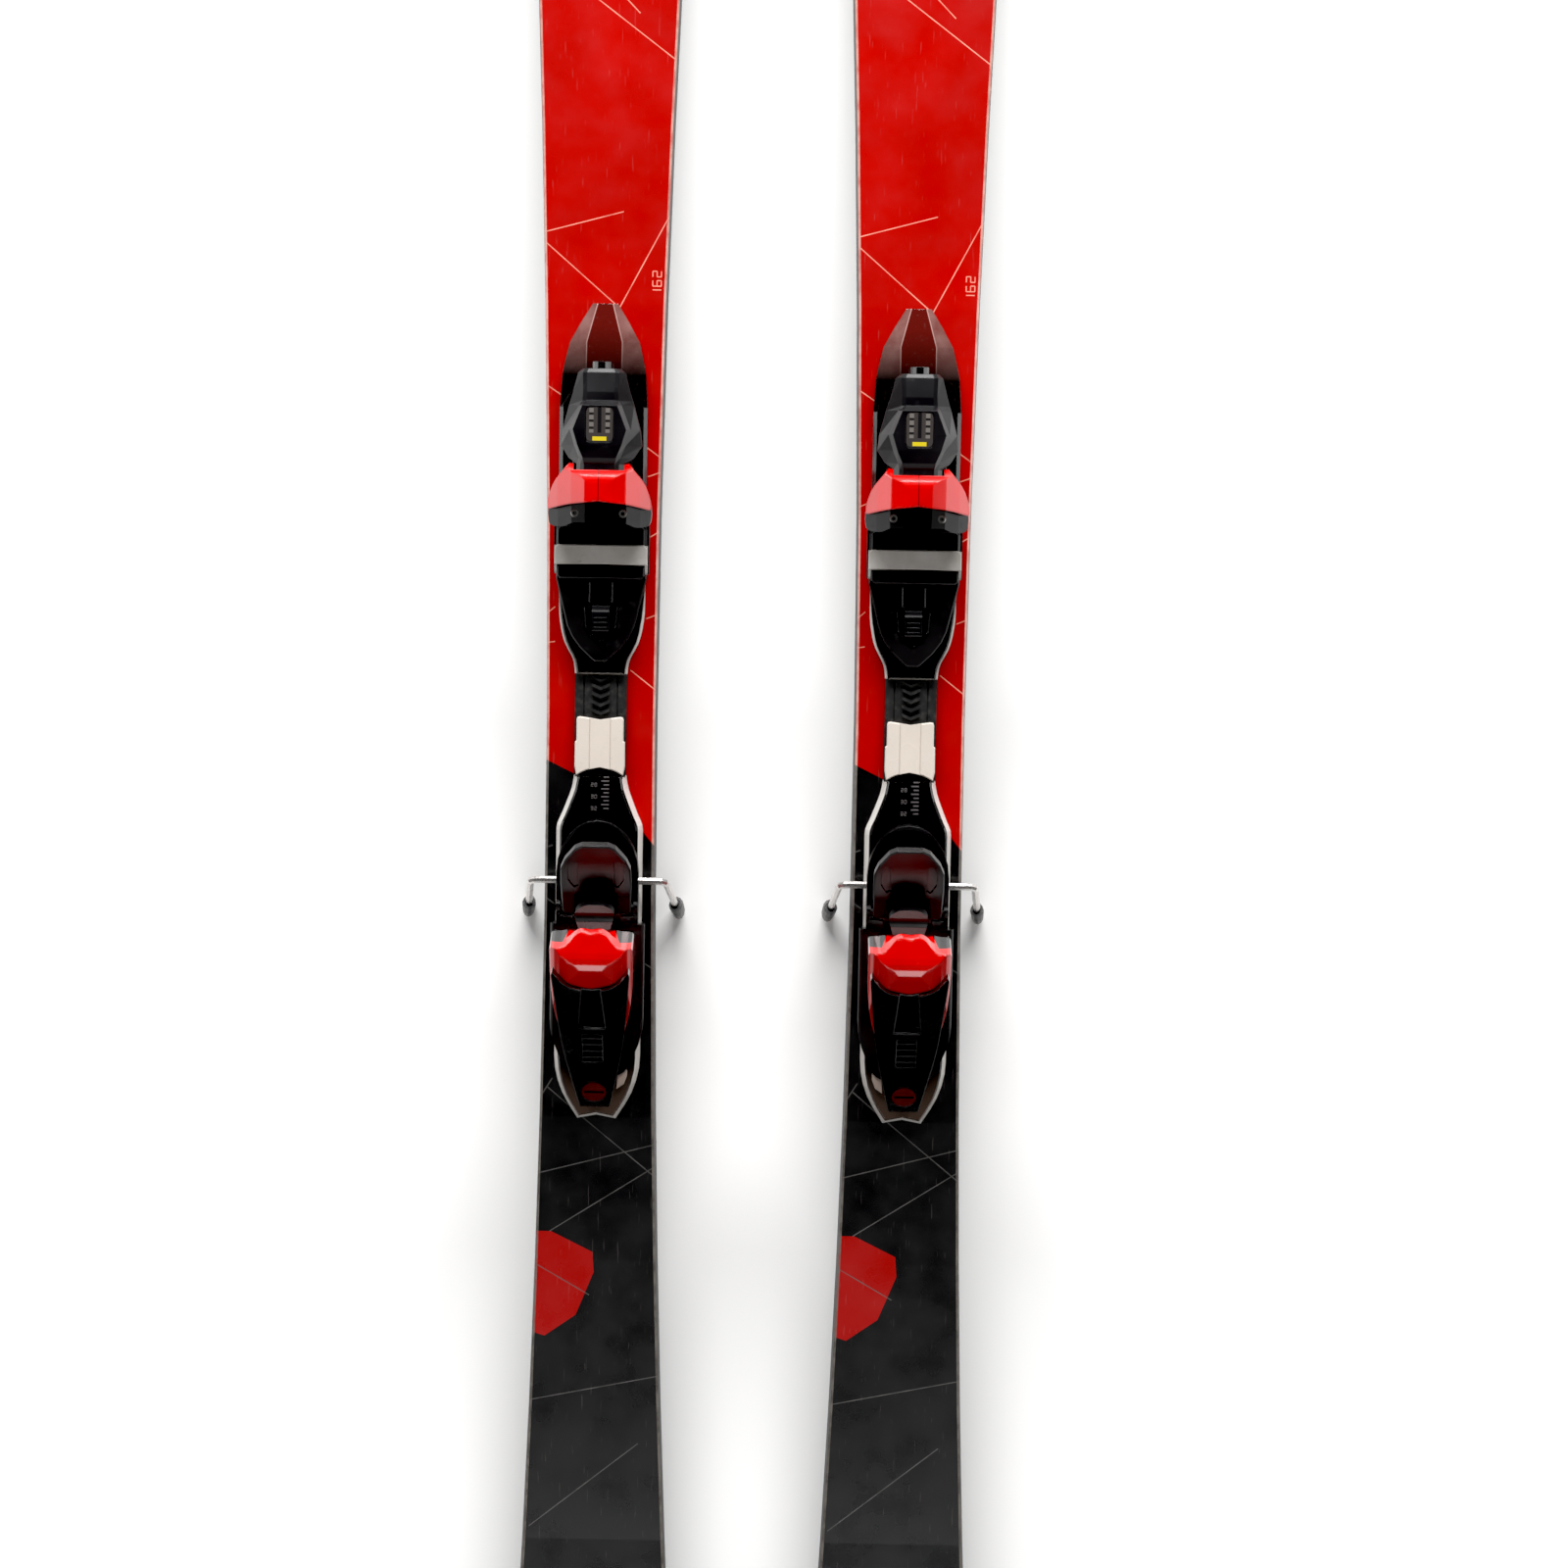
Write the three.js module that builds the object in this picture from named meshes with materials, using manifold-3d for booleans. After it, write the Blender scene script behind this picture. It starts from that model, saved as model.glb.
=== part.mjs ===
// A pair of alpine piste skis with plate-mounted bindings, standing on their brake feet.
// Millimetres. +X is to the right, +Y towards the ski tips, +Z up.
// Each ski is drawn about its boot centre, with z = 0 on the running surface under the boot.
import * as THREE from 'three';
import { mergeVertices } from 'three/addons/utils/BufferGeometryUtils.js';
import Module from 'manifold-3d';

const wasm = await Module();
wasm.setup();

// ---------------------------------------------------------------- driving dimensions

const fit = 0.3; // clearance between pieces that touch
const skiSpacing = 204; // between the two skis' centre lines

// Ski
const skiLength = 1620;
const waistWidth = 73.5;
const tipWidth = 124;
const tailWidth = 107;
const tipWidestFromEnd = 130;
const tailWidestFromEnd = 55;
const waistBehindBoot = 32;
const bootSetback = 88; // boot centre behind mid-length
const midThickness = 15;
const endThickness = 6;
const camber = 5;
const shovelLength = 175;
const shovelRise = 56;
const tailTurnLength = 70;
const tailRise = 13;
const baseThickness = 2;
const edgeWidth = 2.2;
const topsheetThickness = 1.2;
const sidewallLean = 1.1;
const topBevel = 1.5;

// Boot and binding plates
const soleLength = 259;
const plateHalfWidth = 28.6;
const plateThickness = 4;
const coverThickness = 6.2;
const waistHalfWidth = 17.2; // the plates narrow to this where they face each other
const plateNose = 136; // front cover's nose beyond the boot toe
const frontPlateFront = 58; // the pale plate ends under the cover
const frontPlateRear = -105; // from the boot toe
const rearPlateFront = 87; // from the boot heel
const rearPlateEnd = -143.5;
const rimWidth = 3.2;
const railWidth = 2.1; // lips of the sliding carriages outside the plates
const carriageThickness = 5.2;
const railDepth = 3; // the lips hang to this height above the deck
const padCheek = 1.6;

// Toe piece
const toeRest = 39; // height of the boot rest above the running surface
const toeLug = 19; // thickness of a boot's toe lug
const bootToeRadius = 38;
const toeHalfWidth = 33.2;
const toePivotY = 22;
const toePivotRadius = 8;
const wingGap = 3; // under the toe wings
const toeScrewRadius = 6.3;
const toeHousingDrop = 13.7; // from the screw's axis to the carriage
const latchHalfWidth = 5.8;

// Heel piece
const heelRest = 41;
const heelLug = 30;
const bootHeelRadius = 34.5;
const heelHalfWidth = 26.6;
const heelPivotBack = 47; // pivot behind the boot heel
const heelOpenAngle = 25; // the cup stands open, ready to step in
const heelPinRadius = 3.4;
const towerHalfWidth = 11;
const towerRadius = 10;
const leverThickness = 5.2;
const heelScrewRadius = 8.1;

// Brake
const wireRadius = 2.4;
const wireBend = 6.5;
const brakeAxisY = 18.5; // in front of the boot heel
const crankReach = 16.4; // to the outside of the wire
const crankHalfWidth = 9;
const crankAngle = 72; // above the horizontal, arms down
const armLength = 78;
const armAngle = 66; // below the horizontal, arms down
const armOutside = 7.7; // arms outside the ski's waist
const armSplay = 7;
const footLength = 24;
const socketDepth = 11.5;
const footHalfWidth = 4.6;
const footHalfDepth = 7;
const pedalLength = 52;
const pedalHalfWidth = 23.4;
const pedalThickness = 6.2;
const pedalHingeY = 2;
const pedalPinRadius = 1.5;
const pedalRaise = 30;

// ---------------------------------------------------------------- worked-out heights and places

const deck = midThickness + fit;
const plateTop = deck + plateThickness;
const coverTop = plateTop + fit + coverThickness;
const carriageBottom = coverTop + fit;
const carriageTop = carriageBottom + carriageThickness;
const railInner = plateHalfWidth + fit;
const railOuter = railInner + railWidth;
const toeStop = soleLength / 2;
const heelStop = -soleLength / 2;
const tipY = skiLength / 2 + bootSetback;
const tailY = -skiLength / 2 + bootSetback;
const brakeBaseTop = carriageBottom + 7.8;
const brakeAxisZ = carriageBottom + 3.8;
const pedalHingeZ = heelRest - pedalThickness / 2 - 0.7;
const heelPivotZ = heelRest + 7;
const toeRoof = toeRest + toeLug + 0.7;
const neckHalfWidth = 15.6;
const toeScrewZ = carriageTop + toeHousingDrop;
const bedHalfWidth = plateHalfWidth - fit;
const padHalfWidth = bedHalfWidth + fit + padCheek;
const crankLength = crankReach - wireRadius;
const pedalTip = pedalHingeY + pedalLength;
const pedalUnderside = heelRest - pedalThickness;

const degrees = THREE.MathUtils.degToRad;

// ---------------------------------------------------------------- solid helpers

function signedVolume(geometry) {
  const p = geometry.attributes.position;
  const index = geometry.index;
  const a = new THREE.Vector3();
  const b = new THREE.Vector3();
  const c = new THREE.Vector3();
  let volume = 0;
  for (let i = 0; i < index.count; i += 3) {
    a.fromBufferAttribute(p, index.getX(i));
    b.fromBufferAttribute(p, index.getX(i + 1));
    c.fromBufferAttribute(p, index.getX(i + 2));
    volume += a.dot(b.cross(c)) / 6;
  }
  return volume;
}

// Only positions, shared vertices merged, faces pointing out.
function closed(geometry) {
  geometry.deleteAttribute('normal');
  geometry.deleteAttribute('uv');
  const merged = mergeVertices(geometry, 1e-4);
  if (signedVolume(merged) < 0) {
    const index = merged.index;
    for (let i = 0; i < index.count; i += 3) {
      const first = index.getX(i);
      index.setX(i, index.getX(i + 1));
      index.setX(i + 1, first);
    }
  }
  return merged;
}

function toManifold(geometry) {
  const g = closed(geometry);
  return new wasm.Manifold(new wasm.Mesh({
    numProp: 3,
    vertProperties: new Float32Array(g.attributes.position.array),
    triVerts: new Uint32Array(g.index.array),
  }));
}

function fromManifold(manifold) {
  const mesh = manifold.getMesh();
  const geometry = new THREE.BufferGeometry();
  geometry.setAttribute('position', new THREE.BufferAttribute(mesh.vertProperties, 3));
  geometry.setIndex(new THREE.BufferAttribute(mesh.triVerts, 1));
  return geometry;
}

function combine(operation, first, others) {
  let result = toManifold(first);
  for (const other of others) {
    result = result[operation](toManifold(other));
  }
  return fromManifold(result);
}

const join = (first, ...others) => combine('add', first, others);
const cut = (first, ...others) => combine('subtract', first, others);
const common = (first, ...others) => combine('intersect', first, others);

// Triangles of a flat ring of points, looked at along its steepest axis.
function capTriangles(ring) {
  const normal = new THREE.Vector3();
  ring.forEach((p, i) => {
    const q = ring[(i + 1) % ring.length];
    normal.x += (p[1] - q[1]) * (p[2] + q[2]);
    normal.y += (p[2] - q[2]) * (p[0] + q[0]);
    normal.z += (p[0] - q[0]) * (p[1] + q[1]);
  });
  const size = normal.toArray().map(Math.abs);
  const drop = size.indexOf(Math.max(...size));
  const [u, v] = [0, 1, 2].filter((axis) => axis !== drop);
  const flat = ring.map((p) => new THREE.Vector2(p[u], p[v]));
  const faces = THREE.ShapeUtils.triangulateShape(flat, []);
  // triangulateShape winds every face the same way; turn them to follow the ring
  const [i, j, k] = faces[0];
  const turn = (b, c) => (flat[b].x - flat[i].x) * (flat[c].y - flat[i].y)
    - (flat[b].y - flat[i].y) * (flat[c].x - flat[i].x);
  const sameWay = Math.sign(turn(j, k)) === Math.sign(THREE.ShapeUtils.area(flat));
  return sameWay ? faces : faces.map(([a, b, c]) => [a, c, b]);
}

// A closed skin over rings of equally many [x, y, z] points.
function loft(rings) {
  const count = rings[0].length;
  const index = [];
  for (let r = 0; r + 1 < rings.length; r += 1) {
    for (let i = 0; i < count; i += 1) {
      const j = (i + 1) % count;
      const low = r * count;
      const high = low + count;
      index.push(low + i, low + j, high + j, low + i, high + j, high + i);
    }
  }
  const last = (rings.length - 1) * count;
  for (const [a, b, c] of capTriangles(rings[0])) index.push(a, c, b);
  for (const [a, b, c] of capTriangles(rings[rings.length - 1])) index.push(last + a, last + b, last + c);
  const geometry = new THREE.BufferGeometry();
  geometry.setAttribute('position', new THREE.Float32BufferAttribute(rings.flat(2), 3));
  geometry.setIndex(index);
  return closed(geometry);
}

// The right half of an outline, [x, y] or [x, y, radius], made whole.
function mirrored(half) {
  const left = half.filter((p) => p[0] > 1e-6).map(([x, ...rest]) => [-x, ...rest]);
  return [...half, ...left.reverse()];
}

// A shape through [x, y, radius] corners; a radius rounds its corner off.
function roundedShape(corners) {
  const shape = new THREE.Shape();
  const at = (i) => new THREE.Vector2(...corners[(i + corners.length) % corners.length]);
  corners.forEach(([, , radius = 0], i) => {
    const corner = at(i);
    const before = at(i - 1).sub(corner);
    const after = at(i + 1).sub(corner);
    const reach = Math.min(radius, before.length() * 0.48, after.length() * 0.48);
    const start = corner.clone().add(before.setLength(reach));
    const end = corner.clone().add(after.setLength(reach));
    if (i === 0) shape.moveTo(start.x, start.y);
    else shape.lineTo(start.x, start.y);
    if (reach > 0) shape.quadraticCurveTo(corner.x, corner.y, end.x, end.y);
  });
  shape.closePath();
  return shape;
}

function extrude(corners, depth, { bevel = 0, steps = 3, holes = [] } = {}) {
  const shape = roundedShape(corners);
  shape.holes = holes;
  return new THREE.ExtrudeGeometry(shape, {
    depth: depth - 2 * bevel,
    curveSegments: steps,
    bevelEnabled: bevel > 0,
    bevelSize: bevel,
    bevelThickness: bevel,
    bevelOffset: -bevel,
    bevelSegments: 1,
  }).translate(0, 0, bevel);
}

// A plan outline stood up from z0 to z1.
function plan(corners, z0, z1, options) {
  return extrude(corners, z1 - z0, options).translate(0, 0, z0);
}

// A side outline of [y, z] corners, as wide as x0 to x1.
function side(corners, x0, x1, options) {
  const turn = new THREE.Matrix4().set(0, 0, 1, 0, 1, 0, 0, 0, 0, 1, 0, 0, 0, 0, 0, 1);
  return extrude(corners, x1 - x0, options).applyMatrix4(turn).translate(x0, 0, 0);
}

// A front outline of [x, z] corners, as long as y0 to y1.
function front(corners, y0, y1, options) {
  return extrude(corners, y1 - y0, options).rotateX(Math.PI / 2).translate(0, y1, 0);
}

function box(x0, x1, y0, y1, z0, z1) {
  return new THREE.BoxGeometry(x1 - x0, y1 - y0, z1 - z0)
    .translate((x0 + x1) / 2, (y0 + y1) / 2, (z0 + z1) / 2);
}

// A round bar along x, y or z between two places on that axis.
function bar(axis, radius, from, to, sides = 16) {
  const rod = new THREE.CylinderGeometry(radius, radius, to - from, sides);
  rod.translate(0, (from + to) / 2, 0);
  if (axis === 'x') rod.rotateZ(-Math.PI / 2);
  if (axis === 'z') rod.rotateX(Math.PI / 2);
  return rod;
}

// ---------------------------------------------------------------- ski

const mix = (a, b, t) => a + (b - a) * t;
const easeInOut = (t) => (1 - Math.cos(Math.PI * t)) / 2;
const superEllipse = (t, power) => (1 - t ** power) ** (1 / power);

const flatFront = toeStop + plateNose;
const flatRear = heelStop + rearPlateEnd;
const tipWideY = tipY - tipWidestFromEnd;
const tailWideY = tailY + tailWidestFromEnd;

// Half the ski's width: two side-cut arcs from the waist, then a round shovel and a squarer tail.
function halfWidthAt(y) {
  const tipRoundness = 2.2;
  const tailRoundness = 3.5;
  const tipBlunt = 0.985;
  const tailBlunt = 0.97;
  if (y > tipWideY) {
    return (tipWidth / 2) * superEllipse((tipBlunt * (y - tipWideY)) / tipWidestFromEnd, tipRoundness);
  }
  if (y < tailWideY) {
    return (tailWidth / 2) * superEllipse((tailBlunt * (tailWideY - y)) / tailWidestFromEnd, tailRoundness);
  }
  const waistY = -waistBehindBoot;
  const [wide, wideY] = y > waistY ? [tipWidth, tipWideY] : [tailWidth, tailWideY];
  return mix(waistWidth, wide, ((y - waistY) / (wideY - waistY)) ** 2) / 2;
}

// How far along the fore or rear part of the ski a place is: 0 at the plates, 1 at the contact line.
function reachAt(y) {
  const contactFront = tipY - shovelLength;
  const contactRear = tailY + tailTurnLength;
  if (y > flatFront) return Math.min(1, (y - flatFront) / (contactFront - flatFront));
  if (y < flatRear) return Math.min(1, (flatRear - y) / (flatRear - contactRear));
  return 0;
}

// Height of the running surface: camber, then the turned-up shovel and tail.
function baseAt(y) {
  const shovel = Math.max(0, y - (tipY - shovelLength)) / shovelLength;
  const tail = Math.max(0, tailY + tailTurnLength - y) / tailTurnLength;
  return -camber * easeInOut(reachAt(y)) + shovelRise * shovel ** 2 + tailRise * tail ** 2;
}

const topAt = (y) => baseAt(y) + mix(midThickness, endThickness, reachAt(y));

// Stations along the ski, wherever its outline or its side view turns.
function skiStations() {
  const stations = [];
  const spread = (from, to, steps) => {
    for (let k = 0; k < steps; k += 1) stations.push(mix(from, to, k / steps));
  };
  const tailSteps = 4;
  const tipSteps = 7;
  const shovelY = tipY - shovelLength;
  for (let k = 0; k < tailSteps; k += 1) {
    stations.push(tailY + tailWidestFromEnd * (1 - Math.cos((Math.PI * k) / (2 * tailSteps))));
  }
  spread(tailWideY, flatRear, 4);
  spread(flatRear, flatFront, 4);
  spread(flatFront, shovelY, 4);
  stations.push(shovelY);
  for (let k = tipSteps; k >= 0; k -= 1) {
    stations.push(tipY - tipWidestFromEnd * (1 - Math.cos((Math.PI * k) / (2 * tipSteps))));
  }
  return stations;
}

// The right-hand outline, tail to tip, moved in by an inset at right angles to itself.
function skiOutline(inset) {
  const points = skiStations().map((y) => new THREE.Vector2(halfWidthAt(y), y));
  return points.map((p, i) => {
    const before = points[i - 1] ?? new THREE.Vector2(0, p.y);
    const after = points[i + 1] ?? new THREE.Vector2(0, p.y);
    const along = after.clone().sub(p).normalize().add(p.clone().sub(before).normalize()).normalize();
    return new THREE.Vector2(p.x - along.y * inset, p.y + along.x * inset);
  });
}

// One layer of the ski, between two heights, with its lower and upper edges moved in.
function skiLayer(lowInset, lowHeight, highInset, highHeight) {
  const low = skiOutline(lowInset);
  const high = skiOutline(highInset);
  return loft(low.map((p, i) => {
    const q = high[i];
    return [
      [-p.x, p.y, lowHeight(p.y)],
      [p.x, p.y, lowHeight(p.y)],
      [q.x, q.y, highHeight(q.y)],
      [-q.x, q.y, highHeight(q.y)],
    ];
  }));
}

function skiBase() {
  const inset = edgeWidth + fit;
  return skiLayer(inset, baseAt, inset, (y) => baseAt(y) + baseThickness);
}

// The steel edge runs up one side, round the shovel and down the other.
function steelEdge() {
  const outer = skiOutline(0);
  const inner = skiOutline(edgeWidth);
  const ringAt = (i, hand) => [
    [hand * outer[i].x, outer[i].y, baseAt(outer[i].y)],
    [hand * outer[i].x, outer[i].y, baseAt(outer[i].y) + baseThickness],
    [hand * inner[i].x, inner[i].y, baseAt(inner[i].y) + baseThickness],
    [hand * inner[i].x, inner[i].y, baseAt(inner[i].y)],
  ];
  const right = outer.map((_, i) => ringAt(i, 1));
  const left = outer.map((_, i) => ringAt(i, -1)).reverse();
  return loft([...right, ...left]);
}

function skiCore() {
  const bottom = (y) => baseAt(y) + baseThickness + fit;
  const top = (y) => topAt(y) - topsheetThickness - fit;
  return skiLayer(0, bottom, sidewallLean, top);
}

function topsheet() {
  const bottom = (y) => topAt(y) - topsheetThickness;
  return skiLayer(sidewallLean, bottom, sidewallLean + topBevel, topAt);
}

// ---------------------------------------------------------------- plates (front ones from the boot toe)

// Right half of the front plate's outline behind the nose, moved in by an inset.
function frontFlare(inset) {
  const rear = frontPlateRear + inset;
  return [
    [waistHalfWidth - inset, rear],
    [waistHalfWidth + 0.9 - inset, frontPlateRear + 9, 6],
    [plateHalfWidth - 3.6 - inset, frontPlateRear + 21, 6],
    [plateHalfWidth - 0.4 - inset, frontPlateRear + 37, 10],
  ];
}

function frontPlate() {
  const half = [...frontFlare(0), [plateHalfWidth - 0.4, frontPlateFront]];
  return plan(mirrored(half), deck, plateTop);
}

// The smoked cover over the front plate, faceted down to its nose.
function frontCover() {
  const seat = plateTop + fit;
  const flatHalf = plateHalfWidth - 2.4;
  // [from the boot toe, half width, side height, half width of the centre facet, facet height]
  const nose = [
    [plateNose, 8.2, 1.2, 5, 2.2],
    [plateNose - 12, 15.6, 2, 8.4, 5],
    [plateNose - 25, 22.7, 3, 11.6, 7.8],
    [plateNose - 38, 25.8, 4.6, 10.6, coverTop - deck],
    [plateNose - 46, 27.3, 6.4, 14, coverTop - deck],
    [plateNose - 67, plateHalfWidth, 8.6, flatHalf, coverTop - deck],
    [0, plateHalfWidth, 8.6, flatHalf, coverTop - deck],
  ];
  const noseBlock = loft(nose.map(([y, half, sideHeight, facetHalf, height]) => [
    [-half, y, deck],
    [half, y, deck],
    [half, y, deck + sideHeight],
    [facetHalf, y, deck + height],
    [-facetHalf, y, deck + height],
    [-half, y, deck + sideHeight],
  ]));
  const rim = 1.5;
  const rearHalf = [
    [waistHalfWidth - rim, frontPlateRear],
    ...frontFlare(rim).slice(1),
    [plateHalfWidth, frontPlateRear + 60, 8],
    [plateHalfWidth, 1],
  ];
  const rearBlock = plan(mirrored(rearHalf), seat, coverTop, { bevel: 1, steps: 2 });
  const underside = box(-40, 40, frontPlateRear - 1, frontPlateFront + fit, deck - 1, seat);
  return cut(join(noseBlock, rearBlock), underside);
}

// Right half of the rear plate's outline, moved in by an inset, from the boot heel.
function rearOutline(inset, frontInset = inset) {
  const narrow = waistHalfWidth - inset;
  const wide = plateHalfWidth - inset;
  return [
    [narrow, rearPlateFront - frontInset],
    [narrow + 1.4, rearPlateFront - 9, 5],
    [wide - 3, rearPlateFront - 27, 4],
    [wide, rearPlateFront - 33, 4],
    [wide, rearPlateEnd + 34, 12],
    [wide - 5, rearPlateEnd + 17, 12],
    [12.8 - inset * 0.4, rearPlateEnd + inset],
    [0, rearPlateEnd + 2.4 + inset],
  ];
}

// The pale rear plate, a tray with a sloping rim, open at its narrow front.
function rearPlate() {
  const rimTop = coverTop - 1.6;
  const sectionPoints = (inset) => roundedShape(mirrored(rearOutline(inset)))
    .extractPoints(2).shape.map((p) => [p.x, p.y]);
  const ring = (inset, z) => sectionPoints(inset).map(([x, y]) => [x, y, z]);
  const tray = loft([ring(0, deck), ring(0, deck + 2.4), ring(rimWidth - 0.6, rimTop)]);
  const well = plan(mirrored(rearOutline(rimWidth - fit, -1)), plateTop, rimTop + 1, { steps: 2 });
  return cut(tray, well);
}

function rearCover() {
  return plan(mirrored(rearOutline(rimWidth, 0)), plateTop + fit, coverTop, { bevel: 0.8, steps: 2 });
}

// ---------------------------------------------------------------- centre, between the plates

const bandTop = deck + 5.6;
const frontPlateEndY = toeStop + frontPlateRear;
const rearPlateStartY = heelStop + rearPlateFront;

// The black band that ties the plates, with five raised rubber chevrons.
function centreBand() {
  const half = waistHalfWidth - 0.2;
  const grooveHalf = 0.5;
  const chevronTop = bandTop + 1.9;
  const chevronPitch = 5.5;
  const chevronHalf = 6;
  const outline = mirrored([
    [half, rearPlateStartY + fit],
    [half, frontPlateEndY - fit],
  ]);
  const grooves = [-1, 1].map((hand) => box(
    hand * 11 - grooveHalf, hand * 11 + grooveHalf, rearPlateStartY, frontPlateEndY, bandTop - 1, bandTop + 1,
  ));
  let band = cut(plan(outline, deck, bandTop), ...grooves);
  for (let k = 0; k < 5; k += 1) {
    const y = frontPlateEndY - 2.6 - k * chevronPitch;
    const vee = [[0, y - 2.4], [chevronHalf, y + 0.2], [chevronHalf, y + 2], [0, y - 0.6]];
    band = join(band, plan(mirrored(vee), bandTop - 1, chevronTop));
  }
  return band;
}

// The pale clip over the band, with two lengthwise ridges.
function centreClip() {
  const clipLength = 39;
  const bottom = bandTop + fit;
  const top = coverTop - 0.4;
  const rear = rearPlateStartY + fit;
  const frontEdge = rear + clipLength;
  const half = [
    [0, rear + 5.4],
    [9, rear + 3.6, 6],
    [15.4, rear],
    [16.6, rear + 6],
    [16.5, rear + 22],
    [15.5, rear + 23],
    [15.5, frontEdge, 3],
    [11, frontEdge - 0.4, 3],
    [0, frontEdge - 2.2],
  ];
  const slab = plan(mirrored(half), bottom, top, { bevel: 0.7, steps: 2 });
  const trough = front(
    mirrored([[7.6, top + 1], [6.6, top - 1.1]]), rear - 5, frontEdge + 5,
  );
  return cut(slab, trough);
}

// ---------------------------------------------------------------- toe piece (from the boot toe)

const bedFront = -8;
const bedRear = -42;
const padFront = -20;
const padRear = -33;
const bedTop = toeRest - 1.4;
const latchRear = -78;
const latchFloor = carriageBottom + 2;

// The carriage that slides along the front plate, with lips over its sides.
function toeSlider() {
  const carriageHalf = plateHalfWidth + 0.9;
  const lipRear = bedRear + 3;
  const lipFront = -6;
  const lipTop = carriageTop - 1.6;
  const shield = [
    [0, -98.5, 4],
    [10, -92, 8],
    [21, -77, 4],
    [25, -61],
    [carriageHalf, bedRear],
    [carriageHalf, lipFront, 4],
    [22, 8, 6],
    [15, 79, 6],
  ];
  const body = plan(mirrored(shield), carriageBottom, carriageTop, { bevel: 0.8, steps: 1 });
  const bed = plan(
    mirrored([[bedHalfWidth, bedRear, 2], [bedHalfWidth, bedFront, 2]]),
    carriageTop - 1, bedTop, { bevel: 0.6, steps: 1 },
  );
  const lip = (hand) => {
    const [inner, outer] = [hand * railInner, hand * railOuter].sort((a, b) => a - b);
    return box(inner, outer, lipRear, lipFront, deck + railDepth, lipTop);
  };
  const shoulder = box(-railOuter, railOuter, lipRear, lipFront, carriageBottom, lipTop);
  const padGroove = box(-40, 40, padRear - fit, padFront + fit, carriageTop, toeRest + 1);
  const latchWell = box(
    -latchHalfWidth - fit, latchHalfWidth + fit, latchRear - 1, bedRear - fit, latchFloor, carriageTop + 1,
  );
  return cut(join(body, bed, shoulder, lip(1), lip(-1)), padGroove, latchWell);
}

// The size latch in the carriage's channel; its rear end is lifted to free the teeth below.
function toeLatch() {
  const bottom = latchFloor + fit;
  const grip = bottom + 6.4;
  const profile = [
    [latchRear, bottom, 1],
    [bedRear - 2 * fit, bottom, 1.8],
    [bedRear - 2 * fit, bottom + 3.6, 1],
    [latchRear + 18, bottom + 3],
    [latchRear + 15, grip, 1.5],
    [latchRear + 2, grip, 1.5],
    [latchRear, bottom + 4],
  ];
  return side(profile, -latchHalfWidth, latchHalfWidth);
}

// The low-friction boot rest, wrapped over the bed's sides.
function afdPad() {
  const half = padHalfWidth;
  const band = plan(mirrored([
    [0, padRear + 0.6],
    [16, padRear + 0.4],
    [half, padRear],
    [half, padFront, 2],
    [0, padFront],
  ]), carriageTop + fit, toeRest, { bevel: 0.7, steps: 1 });
  const cheek = (hand) => {
    const [inner, outer] = [hand * (half - padCheek), hand * half].sort((a, b) => a - b);
    const outline = [
      [padRear - 6, carriageTop + fit, 1],
      [padFront - 0.5, carriageTop + fit],
      [padFront - 0.5, toeRest - 0.8],
      [padRear, toeRest - 0.8],
      [padRear - 6, carriageTop + 4, 2],
    ];
    return side(outline, inner, outer, { steps: 2 });
  };
  return join(band, cheek(1), cheek(-1));
}

function toePivotProfile(clearance) {
  const r = toePivotRadius + clearance;
  const bottom = carriageTop + fit;
  const top = toeRoof - 3 + clearance;
  return [
    [0, clearance > 0 ? bottom - 1 : bottom],
    [r, clearance > 0 ? bottom - 1 : bottom],
    [r, top - 6],
    [r - 3, top - 3],
    [r - 3, top],
    [0, top],
  ].map(([x, y]) => new THREE.Vector2(x, y));
}

// The steel post that the toe head turns on.
function toePivot(clearance = 0) {
  return new THREE.LatheGeometry(toePivotProfile(clearance), 12)
    .rotateX(Math.PI / 2).translate(0, toePivotY, 0);
}

const domeTop = toeRoof + 8.3;
const windowFrame = { front: 68.4, rear: 46, half: 8.9, depth: 2.4 };

// The moulded spring housing: a flared body with a raised six-sided dome and a narrow neck.
function toeHousing() {
  const floor = carriageTop + 1.3;
  // [from the boot toe, half width, floor, shoulder, half dome, dome foot, top]
  const sections = [
    [93, 12.5, floor + 4, 48, 8, 52.5, 53.5],
    [90.5, 15, floor, 49, 9, 54, 55],
    [78, 18.3, floor, 48, 8.6, 57, 58],
    [72.5, 20, floor, 47, 9, 57.5, 58.5],
    [69.5, 21, floor, 46.4, 11, 58.2, domeTop - 0.6],
    [54, 25, floor, 45, 17, 59.6, domeTop],
    [44, 26, floor, 44.5, 14, 60, domeTop],
    [36, 21, floor, 46, 10.6, 60.2, domeTop - 1],
    [32, neckHalfWidth, floor, 50, 9.8, 60.6, domeTop - 2.4],
    [10, neckHalfWidth, floor, 52, 9.8, 60.6, domeTop - 2.4],
  ];
  const body = loft(sections.map(([y, half, bottom, shoulder, dome, foot, top]) => [
    [-half, y, bottom],
    [half, y, bottom],
    [half, y, shoulder],
    [dome + 2.6, y, foot],
    [dome, y, top],
    [-dome, y, top],
    [-dome - 2.6, y, foot],
    [-half, y, shoulder],
  ]));
  const frame = windowFrame;
  const window = plan(mirrored([
    [frame.half, frame.rear, 3],
    [frame.half, frame.front, 3],
  ]), domeTop - frame.depth, domeTop + 2, { steps: 2 });
  const screwBore = bar('y', toeScrewRadius + fit, 86 - fit, 100).translate(0, 0, toeScrewZ);
  return cut(body, toePivot(0.4), window, screwBore);
}

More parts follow.
